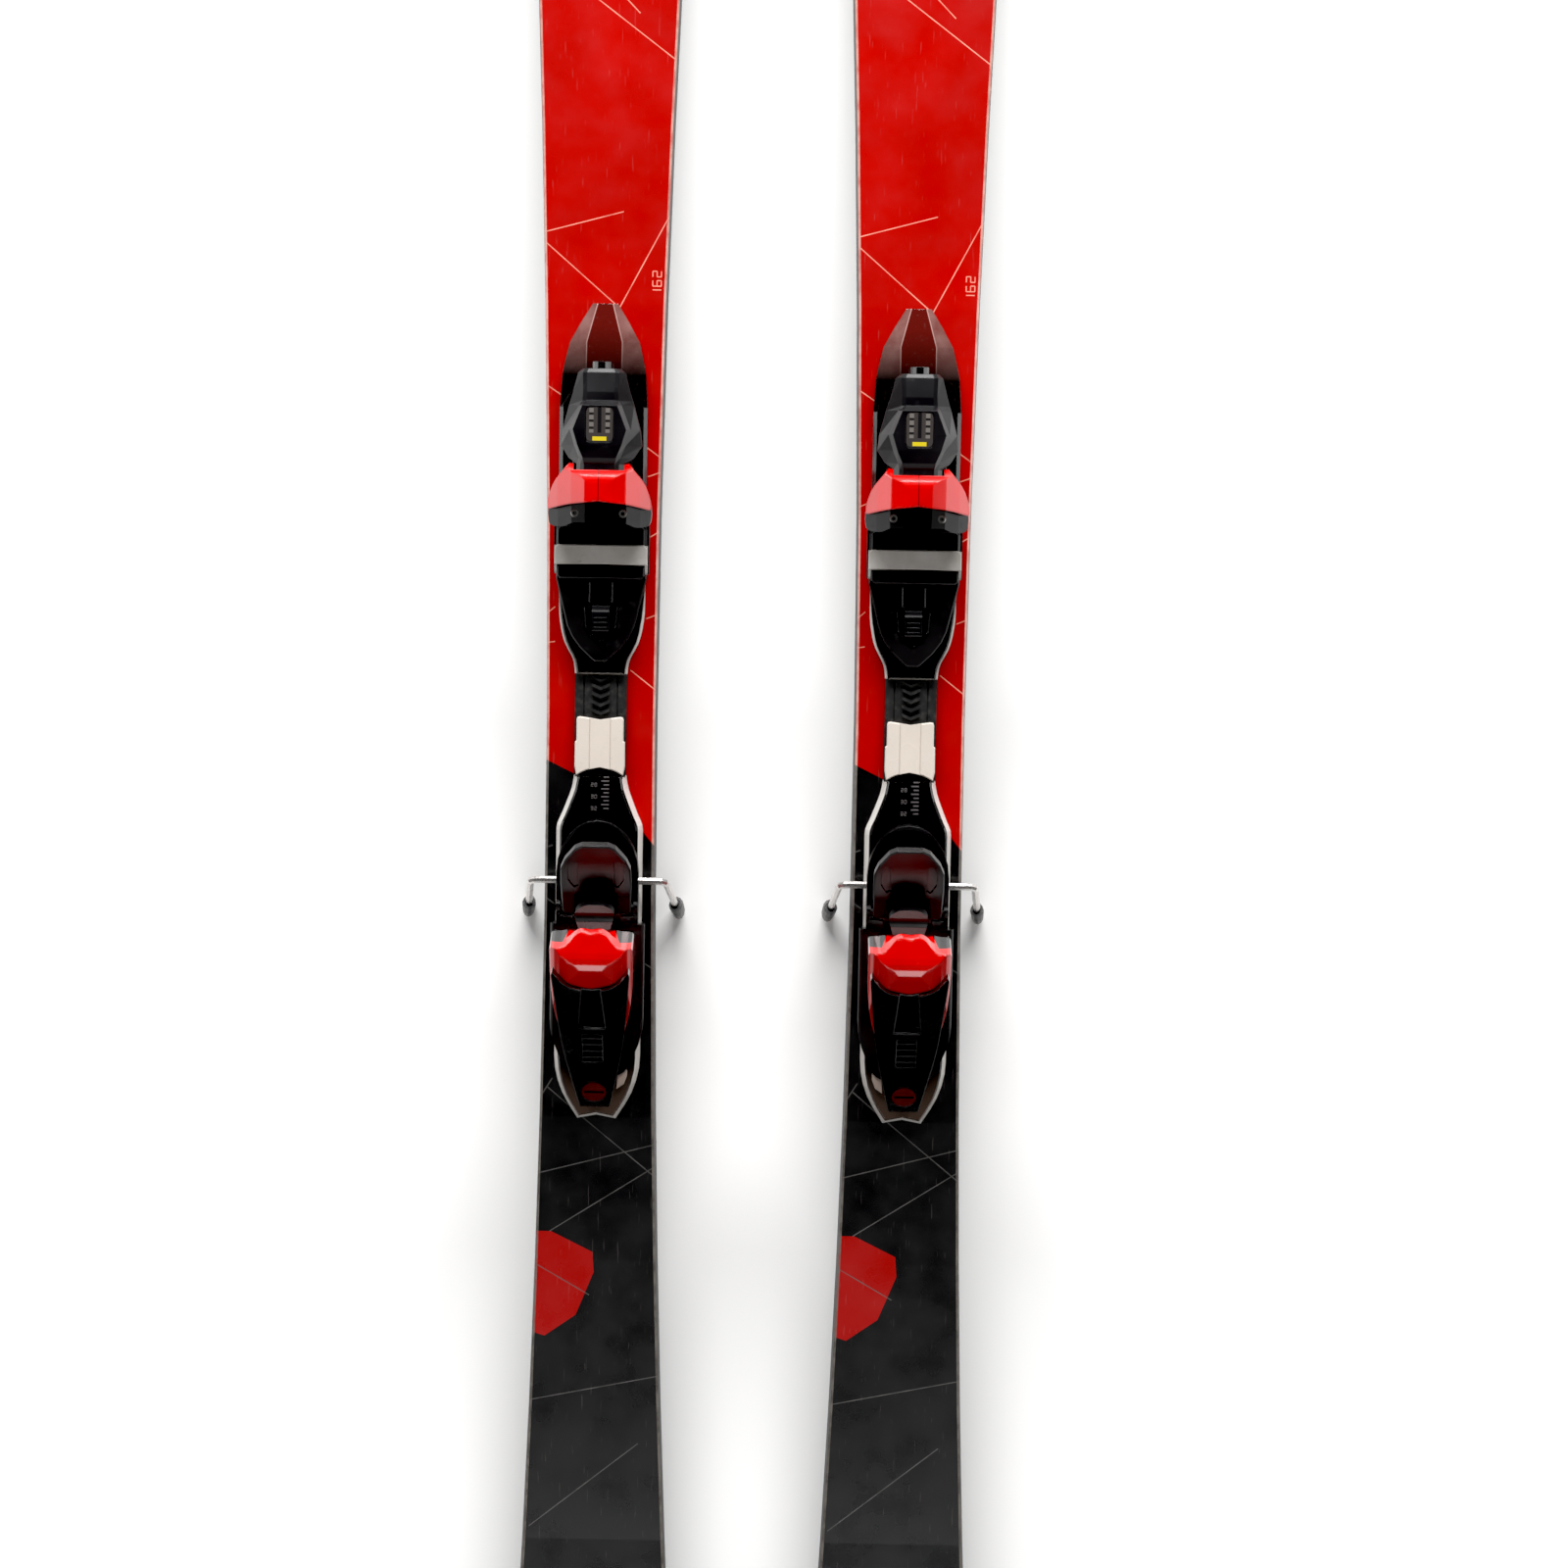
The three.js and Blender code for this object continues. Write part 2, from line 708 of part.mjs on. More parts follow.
function toeWindow() {
  const frame = windowFrame;
  return plan(mirrored([
    [frame.half - fit, frame.rear + fit, 3],
    [frame.half - fit, frame.front - fit, 3],
  ]), domeTop - frame.depth + fit, domeTop - 0.7, { steps: 2 });
}

function toeDinScrew() {
  const slotHalf = toeScrewRadius - 0.9;
  const screw = bar('y', toeScrewRadius, 86, 97.5).translate(0, 0, toeScrewZ);
  const slot = box(-1, 1, 95, 99, toeScrewZ - slotHalf, toeScrewZ + slotHalf);
  return cut(screw, slot);
}

// The arch across the toe: highest over the middle, falling to the wings.
function archSection(crown, drop, bottom) {
  const steps = 8;
  const points = [];
  for (let k = 0; k <= steps; k += 1) {
    const x = mix(toeHalfWidth + 2, -toeHalfWidth - 2, k / steps);
    points.push([x, crown - drop * Math.abs(x / toeHalfWidth) ** 2.3]);
  }
  return [[-toeHalfWidth - 2, bottom], [toeHalfWidth + 2, bottom], ...points];
}

const wingCrown = toeRoof + 7;
const archDrop = 12;

// The wings that hold the boot's toe, with the roof over its lug, in one moulding.
function toeWings() {
  const bottom = toeRest + wingGap;
  const half = [
    [neckHalfWidth + 1, 27],
    [21, 26, 3],
    [29, 18, 6],
    [toeHalfWidth - 0.4, 8, 6],
    [toeHalfWidth, 0],
    [toeHalfWidth - 0.8, -7, 4],
    [27, -8.4, 3],
    [22, -8, 2],
    [17, -5.4, 3],
  ];
  const block = common(
    plan(mirrored(half.reverse()), bottom, wingCrown + 2, { steps: 3 }),
    front(archSection(wingCrown, archDrop, bottom - 5), -20, 40, { steps: 1 }),
  );
  const bootToe = bar('z', bootToeRadius, bottom - 5, toeRoof, 32).translate(0, -bootToeRadius, 0);
  const neck = box(-neckHalfWidth - 0.4, neckHalfWidth + 0.4, 9.6, 40, bottom - 5, wingCrown + 5);
  return cut(block, bootToe, neck);
}

// The red visor over the wings and the neck.
function toeCover() {
  const coverRise = 8.6;
  const earHalf = neckHalfWidth + 0.6;
  const half = [
    [0, 8.5],
    [20, 6.4, 8],
    [toeHalfWidth, 2.7, 2],
    [toeHalfWidth, 9, 6],
    [29.6, 20, 6],
    [22.5, 28.5, 4],
    [earHalf, 36.5],
  ];
  const slope = [
    [0, 40],
    [0, wingCrown + 3],
    [7, wingCrown + coverRise, 5],
    [24, wingCrown + coverRise - 0.6, 6],
    [30, wingCrown + 2.5, 3],
    [38, wingCrown - 14],
    [38, 40],
  ];
  const shell = common(
    plan(mirrored(half), 50, 90, { steps: 3 }),
    front(archSection(wingCrown + coverRise, archDrop + 2, 50), -5, 45, { steps: 1 }),
    side(slope, -40, 40, { steps: 3 }),
  );
  const wingSpace = front(archSection(wingCrown + fit, archDrop, 40), -5, 45, { steps: 1 });
  const neckNotch = box(-earHalf, earHalf, 28.4, 50, 40, 90);
  return cut(shell, wingSpace, neckNotch);
}

// ---------------------------------------------------------------- heel carriage, brake (from the boot heel)

const brakeBaseRear = -10;
const pedalGap = 0.5;

// Right half of the pedal's outer edge, from its hinge to its tip, grown by a gap.
const pedalEdge = (grow) => [
  [pedalHalfWidth - 1 + grow, pedalHingeY - 3.2 - grow, 2],
  [pedalHalfWidth + grow, pedalHingeY + 26, 6],
  [pedalHalfWidth - 1 + grow, pedalTip - 15, 4],
  [11.4 + grow, pedalTip + grow, 3],
];

function heelSlider() {
  const rear = -112;
  const frontEdge = brakeBaseRear - fit;
  const top = carriageTop - 0.6;
  const channel = mirrored([
    [railInner, carriageBottom],
    [railInner, deck + railDepth],
    [railOuter, deck + railDepth],
    [railOuter, top - 1.6, 1],
    [railOuter - 1.8, top],
  ]);
  const rail = front(channel, rear, frontEdge);
  const taper = plan(mirrored([
    [18, rear, 6],
    [railOuter + 0.1, rear + 26, 14],
    [railOuter + 0.1, frontEdge + 1],
  ]), deck, top + 1, { steps: 3 });
  return common(rail, taper);
}

// The brake's base: a floor with a rim that arches round the pedal, bored for the wire.
function brakeBase() {
  const rimInner = pedalHalfWidth + 0.5;
  const rimOuter = rimInner + 3;
  const apex = pedalTip + 5;
  const arch = (half, lead) => {
    const points = [];
    const steps = 6;
    const start = brakeAxisY + 6;
    for (let k = 0; k <= steps; k += 1) {
      const a = (Math.PI / 2) * (k / steps);
      points.push([half * Math.cos(a), start + (lead - start) * Math.sin(a)]);
    }
    return points;
  };
  const outer = mirrored([[rimOuter, brakeBaseRear], ...arch(rimOuter, apex)]);
  const inner = mirrored([[rimInner, pedalHingeY - 6], ...arch(rimInner, apex - 3)]);
  const rimHeight = brakeBaseTop + 3.4;
  const block = plan(outer, carriageBottom, rimHeight);
  const well = plan(inner, brakeBaseTop, rimHeight + 1);
  const bore = bar('x', wireRadius + fit, -40, 40, 8).translate(0, brakeAxisY, brakeAxisZ);
  const pedalRoom = plan(
    mirrored(pedalEdge(pedalGap)), pedalUnderside - pedalGap, rimHeight + 1, { steps: 1 },
  );
  const reach = wireRadius + 1;
  const crankWell = box(
    -crankHalfWidth - reach, crankHalfWidth + reach,
    brakeAxisY - reach, brakeAxisY + crankLength + reach, carriageBottom - 1, brakeBaseTop + 1,
  );
  const treadleRoom = box(-16, 16, brakeBaseRear - 1, pedalHingeY - 5, brakeBaseTop, rimHeight + 1);
  const ear = (hand) => side(
    [[pedalHingeY - 3.4, brakeBaseTop - 1], [pedalHingeY + 3.4, brakeBaseTop - 1],
      [pedalHingeY + 3.4, pedalHingeZ + 3, 3], [pedalHingeY - 3.4, pedalHingeZ + 3, 3]],
    Math.min(hand * rimInner, hand * rimOuter), Math.max(hand * rimInner, hand * rimOuter),
  );
  const stub = (hand) => {
    const [inner, outer] = [hand * (pedalHalfWidth - 2.8), hand * (rimInner + 1)].sort((a, b) => a - b);
    return bar('x', pedalPinRadius, inner, outer, 8).translate(0, pedalHingeY, pedalHingeZ);
  };
  const base = cut(block, well, bore, crankWell, treadleRoom, pedalRoom);
  return join(base, ear(1), ear(-1), stub(1), stub(-1));
}

// The brake pedal, drawn pressed flat; its rear is forked round the heel's treadle.
function brakePedal() {
  const forkHalf = 14;
  const half = [[forkHalf, pedalHingeY - 3.2], ...pedalEdge(0)];
  const fork = [
    [forkHalf - 3, pedalHingeY + 15, 3],
    [forkHalf, pedalHingeY + 12, 3],
  ];
  const outline = [...half, ...[...half].reverse().map(([x, ...rest]) => [-x, ...rest]),
    ...[...fork].reverse().map(([x, ...rest]) => [-x, ...rest]), ...fork];
  const plate = plan(outline, pedalUnderside, heelRest, { bevel: 0.9, steps: 1 });
  const bore = bar('x', pedalPinRadius + fit, -40, 40, 8).translate(0, pedalHingeY, pedalHingeZ);
  const lobe = (hand) => plan([
    [hand * 11.5, pedalHingeY + 17, 3], [hand * 18, pedalHingeY + 21, 4],
    [hand * 18.4, pedalHingeY + 37, 4], [hand * 12.4, pedalHingeY + 43, 4],
  ], heelRest - 1.2, heelRest + 1, { steps: 1 });
  return cut(plate, bore, lobe(1), lobe(-1));
}

const armX = waistWidth / 2 + armOutside;

// Where an arm's foot ends, from the brake's axis.
function armTip() {
  return [
    armX + armSplay,
    -armLength * Math.cos(degrees(armAngle)),
    -armLength * Math.sin(degrees(armAngle)),
  ];
}

// The bent wire: both arms, the cross shaft in the base and the crank under the pedal.
function brakeWire() {
  const up = degrees(crankAngle);
  const crankTip = [crankLength * Math.cos(up), crankLength * Math.sin(up)];
  const [tipX, tipYDown, tipZDown] = armTip();
  const shorten = 1 - (footLength - socketDepth + 1) / armLength;
  const corners = [
    [-mix(armX, tipX, shorten), tipYDown * shorten, tipZDown * shorten],
    [-armX, 0, 0],
    [-crankHalfWidth, 0, 0],
    [-crankHalfWidth, ...crankTip],
    [crankHalfWidth, ...crankTip],
    [crankHalfWidth, 0, 0],
    [armX, 0, 0],
    [mix(armX, tipX, shorten), tipYDown * shorten, tipZDown * shorten],
  ].map((p) => new THREE.Vector3(...p));
  const path = new THREE.CurvePath();
  let from = corners[0];
  for (let i = 1; i + 1 < corners.length; i += 1) {
    const corner = corners[i];
    const radius = i === 1 || i === corners.length - 2 ? wireBend : wireRadius + 1;
    const before = corners[i - 1].clone().sub(corner).setLength(radius).add(corner);
    const after = corners[i + 1].clone().sub(corner).setLength(radius).add(corner);
    path.add(new THREE.LineCurve3(from, before));
    path.add(new THREE.QuadraticBezierCurve3(before, corner, after));
    from = after;
  }
  path.add(new THREE.LineCurve3(from, corners[corners.length - 1]));
  return sweep(pathPoints(path, 3), wireRadius, 8);
}

// The points of a path: its lines' ends and a few along each bend.
function pathPoints(path, bendSteps) {
  const points = [];
  for (const curve of path.curves) {
    const steps = curve.isLineCurve3 ? 1 : bendSteps;
    curve.getPoints(steps).forEach((p) => {
      if (points.length === 0 || p.distanceTo(points[points.length - 1]) > 0.05) points.push(p);
    });
  }
  return points;
}

// A round section carried along points without twisting.
function sweep(points, radius, sides) {
  const tangentAt = (i) => {
    const before = points[Math.max(0, i - 1)];
    const after = points[Math.min(points.length - 1, i + 1)];
    return after.clone().sub(before).normalize();
  };
  let across = new THREE.Vector3(0, 1, 0);
  const rings = points.map((p, i) => {
    const tangent = tangentAt(i);
    across = across.clone().addScaledVector(tangent, -across.dot(tangent)).normalize();
    const other = tangent.clone().cross(across);
    const ring = [];
    for (let k = 0; k < sides; k += 1) {
      const a = (2 * Math.PI * k) / sides;
      ring.push(p.clone().addScaledVector(across, radius * Math.cos(a))
        .addScaledVector(other, radius * Math.sin(a)).toArray());
    }
    return ring;
  });
  return loft(rings);
}

// A plastic brake foot, a tapering spade drawn along -y from its socket, bored for the wire.
function brakeFoot() {
  const section = (y, half, depth, lead) => {
    const ring = [];
    for (let k = 0; k < 12; k += 1) {
      const a = (2 * Math.PI * k) / 12;
      ring.push([half * Math.cos(a), y, lead + depth * Math.sin(a)]);
    }
    return ring;
  };
  const spade = loft([
    section(0, 3.9, 3.9, 0),
    section(-3, footHalfWidth, 4.6, 0),
    section(-12, footHalfWidth, footHalfDepth, -1.5),
    section(-footLength + 1.5, footHalfWidth - 0.4, footHalfDepth - 0.4, -2),
    section(-footLength, footHalfWidth - 1.6, footHalfDepth - 1.8, -2),
  ]);
  const socket = bar('y', wireRadius + fit, -socketDepth, 1, 8);
  return cut(spade, socket);
}

// ---------------------------------------------------------------- heel piece (closed, about its pivot)

const leverFront = 21;
const leverTail = -81.7;
const knobY = -66.7;
const leverTopFront = 40;
const leverTopTail = 27;
const leverTopAt = (y) => mix(leverTopTail, leverTopFront, (y - leverTail) / (leverFront - leverTail));
const leverSlope = Math.atan2(leverTopFront - leverTopTail, leverFront - leverTail);

// Right half of the lever's outline: two horns in front, narrowing to the tail.
function leverOutline(inset) {
  return [
    [0, leverFront - inset],
    [12, leverFront + 2 - inset, 6],
    [19.5, 29 - inset, 6],
    [heelHalfWidth - 2.4 - inset, 38 - inset, 1],
    [heelHalfWidth - 1.4 - inset, 35, 2],
    [23 - inset, 6, 12],
    [20 - inset, -26.6, 12],
    [15.5 - inset, -51.6, 12],
    [9.6 - inset, leverTail + inset, 3],
  ];
}

// The tower that carries the heel's pivot, round about the pin.
function heelTower() {
  const foot = -(heelPivotZ - carriageTop + 0.6 - fit);
  const profile = [[-towerRadius, foot], [towerRadius, foot]];
  for (let k = 0; k <= 8; k += 1) {
    const a = Math.PI * (k / 8);
    profile.push([towerRadius * Math.cos(a), towerRadius * Math.sin(a)]);
  }
  const pinHalf = towerHalfWidth + 8;
  return join(
    side(profile, -towerHalfWidth, towerHalfWidth, { steps: 1 }),
    bar('x', heelPinRadius, -pinHalf, pinHalf, 10),
  );
}

// Room for the tower inside the cup, through the cup's whole travel.
function towerRoom() {
  const gap = 0.5;
  const r = towerRadius + gap;
  const profile = [[-26, -8], [-26, -30], [36, -30]];
  for (let k = 0; k <= 6; k += 1) {
    const a = (Math.PI - degrees(heelOpenAngle)) * (k / 6);
    profile.push([r * Math.cos(a), r * Math.sin(a)]);
  }
  const half = towerHalfWidth + gap;
  const pinHalf = towerHalfWidth + 8 + gap;
  return join(
    side(profile, -half, half, { steps: 1 }),
    bar('x', heelPinRadius + fit, -pinHalf, pinHalf, 10),
  );
}

// The red cup: lobed tongue, shoulders, hollow for the boot's heel, and the housing behind.
function heelCup() {
  const mouth = heelPivotBack;
  const lip = mouth + 12;
  const lugTop = heelLug - 7 + 0.6;
  const half = [
    [0, lip - 1.1],
    [7, lip, 4],
    [10.5, lip - 2.4, 3],
    [15.5, lip - 8.4, 4],
    [heelHalfWidth, lip - 9.6, 3],
    [heelHalfWidth, 18, 14],
    [heelHalfWidth - 3, -6, 14],
    [19, -24, 10],
    [13.5, -50, 10],
    [9, -76, 4],
  ];
  const leverBottom = (y) => leverTopAt(y) - leverThickness - fit;
  const profile = [
    [mouth - 16, -4],
    [mouth - 8, -4],
    [mouth, 12],
    [lip + 0.5, 18],
    [lip + 0.5, lugTop + 4.6, 2],
    [mouth - 3, lugTop + 14, 8],
    [mouth - 11, lugTop + 15.4, 6],
    [leverFront - 2, leverTopAt(leverFront) - 3.2, 6],
    [leverFront - 4, leverBottom(leverFront - 4)],
    [-76, leverBottom(-76)],
    [-76, 17.5],
    [-62, 12],
    [-42, 3],
    [-18, -7, 6],
    [10, -12, 6],
    [28, -6, 4],
  ];
  const body = common(
    plan(mirrored(half.reverse()), -20, 60, { steps: 2 }),
    side(profile, -40, 40, { steps: 2 }),
    front(mirrored([
      [heelHalfWidth + 1, -20],
      [heelHalfWidth + 1, 30, 3],
      [heelHalfWidth - 7, lugTop + 13.6, 8],
      [0, lugTop + 16],
    ]), -90, 80, { steps: 2 }),
  );
  const bootHeel = bar('z', bootHeelRadius, -20, lugTop, 20).translate(0, mouth + bootHeelRadius, 0);
  const leverRoom = common(
    plan(mirrored(leverOutline(-fit).reverse()), 10, 60, { steps: 2 }),
    side([[leverTail - 5, leverBottom(leverTail - 5)], [45, leverBottom(45)], [45, 70], [leverTail - 5, 70]],
      -40, 40),
  );
  return cut(body, bootHeel, leverRoom, towerRoom());
}

// The black treadle that the boot's heel steps on.
function heelTreadle() {
  const mouth = heelPivotBack;
  const tip = mouth + 9;
  const outline = mirrored([
    [10, mouth - 9],
    [13, mouth + 2, 4],
    [11.5, tip - 3.5, 4],
    [6.5, tip, 3],
  ]);
  const profile = [
    [mouth - 9, -13.2],
    [tip + 1, -13.2],
    [tip + 1, -7.4],
    [mouth + 1, -7.4, 2],
    [mouth - 2, -4 - fit],
    [mouth - 9, -4 - fit],
  ];
  return common(plan(outline, -20, 0, { steps: 2 }), side(profile, -20, 20, { steps: 2 }));
}

// The black lever over the housing, with its channel, ribbed window and the bore for the knob.
function heelLever() {
  const bottomLine = (y) => leverTopAt(y) - leverThickness;
  const profile = [
    [leverTail, bottomLine(leverTail), 1],
    [40, bottomLine(40)],
    [40, leverTopAt(40) + 1.2],
    [leverFront - 12, leverTopAt(leverFront - 12), 10],
    [leverTail, leverTopAt(leverTail), 3],
  ];
  const blank = common(
    plan(mirrored(leverOutline(0).reverse()), 0, 60, { steps: 2 }),
    side(profile, -40, 40),
  );
  const channel = plan(mirrored([[8.7, -11, 1], [5.8, 26]]), 0, 60);
  const ribbed = plan(mirrored([[6.4, -40, 1], [6.4, -16.6, 1]]), 0, 60);
  const depth = (geometry, drop) => common(geometry, side([
    [leverTail, leverTopAt(leverTail) - drop], [40, leverTopAt(40) - drop], [40, 70], [leverTail, 70],
  ], -30, 30));
  let lever = cut(blank, depth(channel, 1.8), depth(ribbed, 1.4), knobBar(heelScrewRadius + 0.5, 10, 60));
  for (let k = 0; k < 4; k += 1) {
    const y = -20 - k * 5.4;
    const rib = box(-6.4, 6.4, y - 0.7, y + 0.7, bottomLine(y) + 1, leverTopAt(y) - 0.3);
    lever = join(lever, rib);
  }
  return lever;
}

// A round bar square to the lever's top, through the knob's centre.
function knobBar(radius, from, to) {
  const top = leverTopAt(knobY);
  return bar('z', radius, from - top, to - top, 16).rotateX(leverSlope).translate(0, knobY, top);
}

function heelDinScrew() {
  const top = leverTopAt(knobY);
  const knob = knobBar(heelScrewRadius, top - leverThickness + 0.1, top + 0.6);
  const slotHalf = heelScrewRadius - 1.6;
  const slot = box(-slotHalf, slotHalf, knobY - 1.1, knobY + 1.1, top - 1.6, top + 3);
  return cut(knob, slot);
}

// ---------------------------------------------------------------- finishes

function finish(colour, roughness, metalness = 0, opacity = 1) {
  return new THREE.MeshStandardMaterial({
    color: colour, roughness, metalness, opacity, transparent: opacity < 1,
  });
}

const laminate = finish(0x1b1b1c, 0.5);
const sintered = finish(0x141414, 0.6);
const steel = finish(0xa9abae, 0.3, 1);
const redTopsheet = finish(0xcb0900, 0.3);
const paleNylon = finish(0xd8d5d0, 0.45);
const creamNylon = finish(0xc8b8a4, 0.5);
const smoked = finish(0x3a3030, 0.15, 0, 0.7);
const blackMoulding = finish(0x1f1d1f, 0.35);
const greyMoulding = finish(0x2b292c, 0.4);
const redGloss = finish(0xd31f19, 0.15);
const lowFriction = finish(0xe0ded9, 0.3);
const rubber = finish(0x121212, 0.8);
const clearPlastic = finish(0x8f8c86, 0.1, 0, 0.5);
const darkRedPlastic = finish(0x5a0f0b, 0.2);
const wornPlastic = finish(0x2a282a, 0.55);

// ---------------------------------------------------------------- assembly

function makeSki(hand) {
  const ski = new THREE.Group();
  const add = (parent, name, geometry, material) => {
    const mesh = new THREE.Mesh(geometry, material);
    mesh.name = `${hand}_${name}`;
    parent.add(mesh);
    return mesh;
  };
  const groupAt = (parent, y, z = 0) => {
    const group = new THREE.Group();
    group.position.set(0, y, z);
    parent.add(group);
    return group;
  };

  add(ski, 'core', skiCore(), laminate);
  add(ski, 'base', skiBase(), sintered);
  add(ski, 'steel_edge', steelEdge(), steel);
  add(ski, 'topsheet', topsheet(), redTopsheet);
  add(ski, 'centre_band', centreBand(), rubber);
  add(ski, 'centre_clip', centreClip(), creamNylon);

  const toe = groupAt(ski, toeStop);
  add(toe, 'front_plate', frontPlate(), paleNylon);
  add(toe, 'front_cover', frontCover(), smoked);
  add(toe, 'toe_slider', toeSlider(), blackMoulding);
  add(toe, 'toe_latch', toeLatch(), greyMoulding);
  add(toe, 'afd_pad', afdPad(), lowFriction);
  add(toe, 'toe_pivot', toePivot(), steel);
  add(toe, 'toe_housing', toeHousing(), greyMoulding);
  add(toe, 'toe_window', toeWindow(), clearPlastic);
  add(toe, 'toe_din_screw', toeDinScrew(), steel);
  add(toe, 'toe_wings', toeWings(), greyMoulding);
  add(toe, 'toe_cover', toeCover(), redGloss);

  const heel = groupAt(ski, heelStop);
  add(heel, 'rear_plate', rearPlate(), paleNylon);
  add(heel, 'rear_cover', rearCover(), smoked);
  add(heel, 'heel_slider', heelSlider(), blackMoulding);
  add(heel, 'brake_base', brakeBase(), blackMoulding);

  const pedalHinge = groupAt(heel, pedalHingeY, pedalHingeZ);
  pedalHinge.rotation.x = degrees(pedalRaise);
  const pedal = add(pedalHinge, 'brake_pedal', brakePedal(), blackMoulding);
  pedal.position.set(0, -pedalHingeY, -pedalHingeZ);

  const brakeAxis = groupAt(heel, brakeAxisY, brakeAxisZ);
  add(brakeAxis, 'brake_wire', brakeWire(), steel);
  const [tipX, tipBack, tipDown] = armTip();
  for (const [name, sign] of [['left', -1], ['right', 1]]) {
    const foot = add(brakeAxis, `brake_foot_${name}`, brakeFoot(), wornPlastic);
    const socket = 1 - footLength / armLength;
    const arm = new THREE.Vector3(sign * (tipX - armX), tipBack, tipDown);
    foot.position.set(sign * armX, 0, 0).addScaledVector(arm, socket);
    foot.quaternion.setFromUnitVectors(new THREE.Vector3(0, -1, 0), arm.normalize());
  }

  const heelPivot = groupAt(heel, -heelPivotBack, heelPivotZ);
  add(heelPivot, 'heel_tower', heelTower(), blackMoulding);
  const heelHead = groupAt(heelPivot, 0);
  heelHead.rotation.x = degrees(heelOpenAngle);
  add(heelHead, 'heel_cup', heelCup(), redGloss);
  add(heelHead, 'heel_treadle', heelTreadle(), blackMoulding);
  add(heelHead, 'heel_lever', heelLever(), blackMoulding);
  add(heelHead, 'heel_din_screw', heelDinScrew(), darkRedPlastic);
  return ski;
}

const skis = new THREE.Group();
for (const [hand, sign] of [['left', -1], ['right', 1]]) {
  const ski = makeSki(hand);
  ski.position.set((sign * skiSpacing) / 2, -bootSetback, 0);
  skis.add(ski);
}

// The pair stands level on its brake feet: z = 0 is the ground under them.
skis.updateMatrixWorld(true);
skis.position.z = -new THREE.Box3().setFromObject(skis, true).min.z;
skis.updateMatrixWorld(true);

export default skis;
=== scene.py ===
# A pair of used piste skis with red and black plate bindings, finished over the CAD frame.
import math

import bmesh
import bpy
from mathutils import Matrix, Vector


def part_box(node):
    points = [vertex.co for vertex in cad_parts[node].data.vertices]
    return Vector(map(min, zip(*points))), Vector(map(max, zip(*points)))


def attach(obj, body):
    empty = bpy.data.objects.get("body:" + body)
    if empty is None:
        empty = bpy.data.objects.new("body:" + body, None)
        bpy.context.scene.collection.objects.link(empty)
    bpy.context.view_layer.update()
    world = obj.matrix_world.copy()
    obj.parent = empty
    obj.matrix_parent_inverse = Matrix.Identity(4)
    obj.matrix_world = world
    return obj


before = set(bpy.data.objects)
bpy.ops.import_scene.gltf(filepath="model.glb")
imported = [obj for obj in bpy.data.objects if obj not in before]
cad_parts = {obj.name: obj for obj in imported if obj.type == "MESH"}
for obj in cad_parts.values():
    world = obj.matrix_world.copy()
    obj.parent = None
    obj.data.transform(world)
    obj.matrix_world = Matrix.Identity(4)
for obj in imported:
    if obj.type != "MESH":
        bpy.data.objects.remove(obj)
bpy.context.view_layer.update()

MM = 0.001
HANDS = {"left": -0.102, "right": 0.102}  # each ski's centre line, in metres
BOOT_Y = -0.088                           # the boot centre along the pair
FIRST, SECOND = 6, 7                      # the two colour inputs of a Mix node


# ------------------------------------------------------------------ helpers

def linear(hex_colour):
    """An sRGB hex colour as linear RGBA."""
    parts = [int(hex_colour[i:i + 2], 16) / 255 for i in (1, 3, 5)]
    return tuple(p / 12.92 if p <= 0.04045 else ((p + 0.055) / 1.055) ** 2.4 for p in parts) + (1.0,)


def add(tree, kind, inputs=None, **settings):
    """Add a shader node with its settings. An input is a value, a hex colour, a socket or a node."""
    made = tree.nodes.new(kind)
    for name, value in settings.items():
        setattr(made, name, value)
    for key, value in (inputs or {}).items():
        if isinstance(value, str):
            value = linear(value)
        if isinstance(value, bpy.types.Node):
            value = next(socket for socket in value.outputs if socket.enabled)
        if isinstance(value, bpy.types.NodeSocket):
            tree.links.new(value, made.inputs[key])
        else:
            made.inputs[key].default_value = value
    return made


def blank_material(name):
    """An empty material, its tree and the place on the object in metres."""
    material = bpy.data.materials.new(name)
    material.use_nodes = True
    tree = material.node_tree
    tree.nodes.clear()
    place = add(tree, "ShaderNodeTexCoord").outputs["Object"]
    return material, tree, place


def finish_material(material, tree, shader):
    """Link the shader to the material's output."""
    add(tree, "ShaderNodeOutputMaterial", {"Surface": shader}, name="output")
    return material


# ------------------------------------------------------------------ printed topsheet

# Thin printed lines, as (x, y) to (x, y) in mm from the ski's centre line and the boot centre.
PRINTED_LINES = [
    (-41, 311, 11, 325), (-41, 306, 9, 263), (9, 263, 42, 325), (-37, 212, -28, 206),
    (28, 173, 39, 165), (29, 154, 40, 158), (-38, 136, -31, 139), (30, 114, 38, 119),
    (-38, 62, -31, 68), (29, 61, 39, 65), (-38, 44, -31, 45), (19, 27, 37, 13),
    (-37, -92, -31, -90), (-37, -124, -30, -129), (30, -168, 38, -173),
    (-30, -247, -38, -260), (-33, -253, -6, -276), (-6, -276, 40, -314),
    (-39, -312, 40, -291), (-31, -352, 40, -306), (-43, -470, 44, -452), (-44, -560, 30, -500),
    (-45, -372, -4, -396), (-20, 470, 47, 420), (-46, 520, 20, 452), (-50, 640, 30, 700),
    (10, 560, 52, 610), (-30, 770, 55, 720),
]
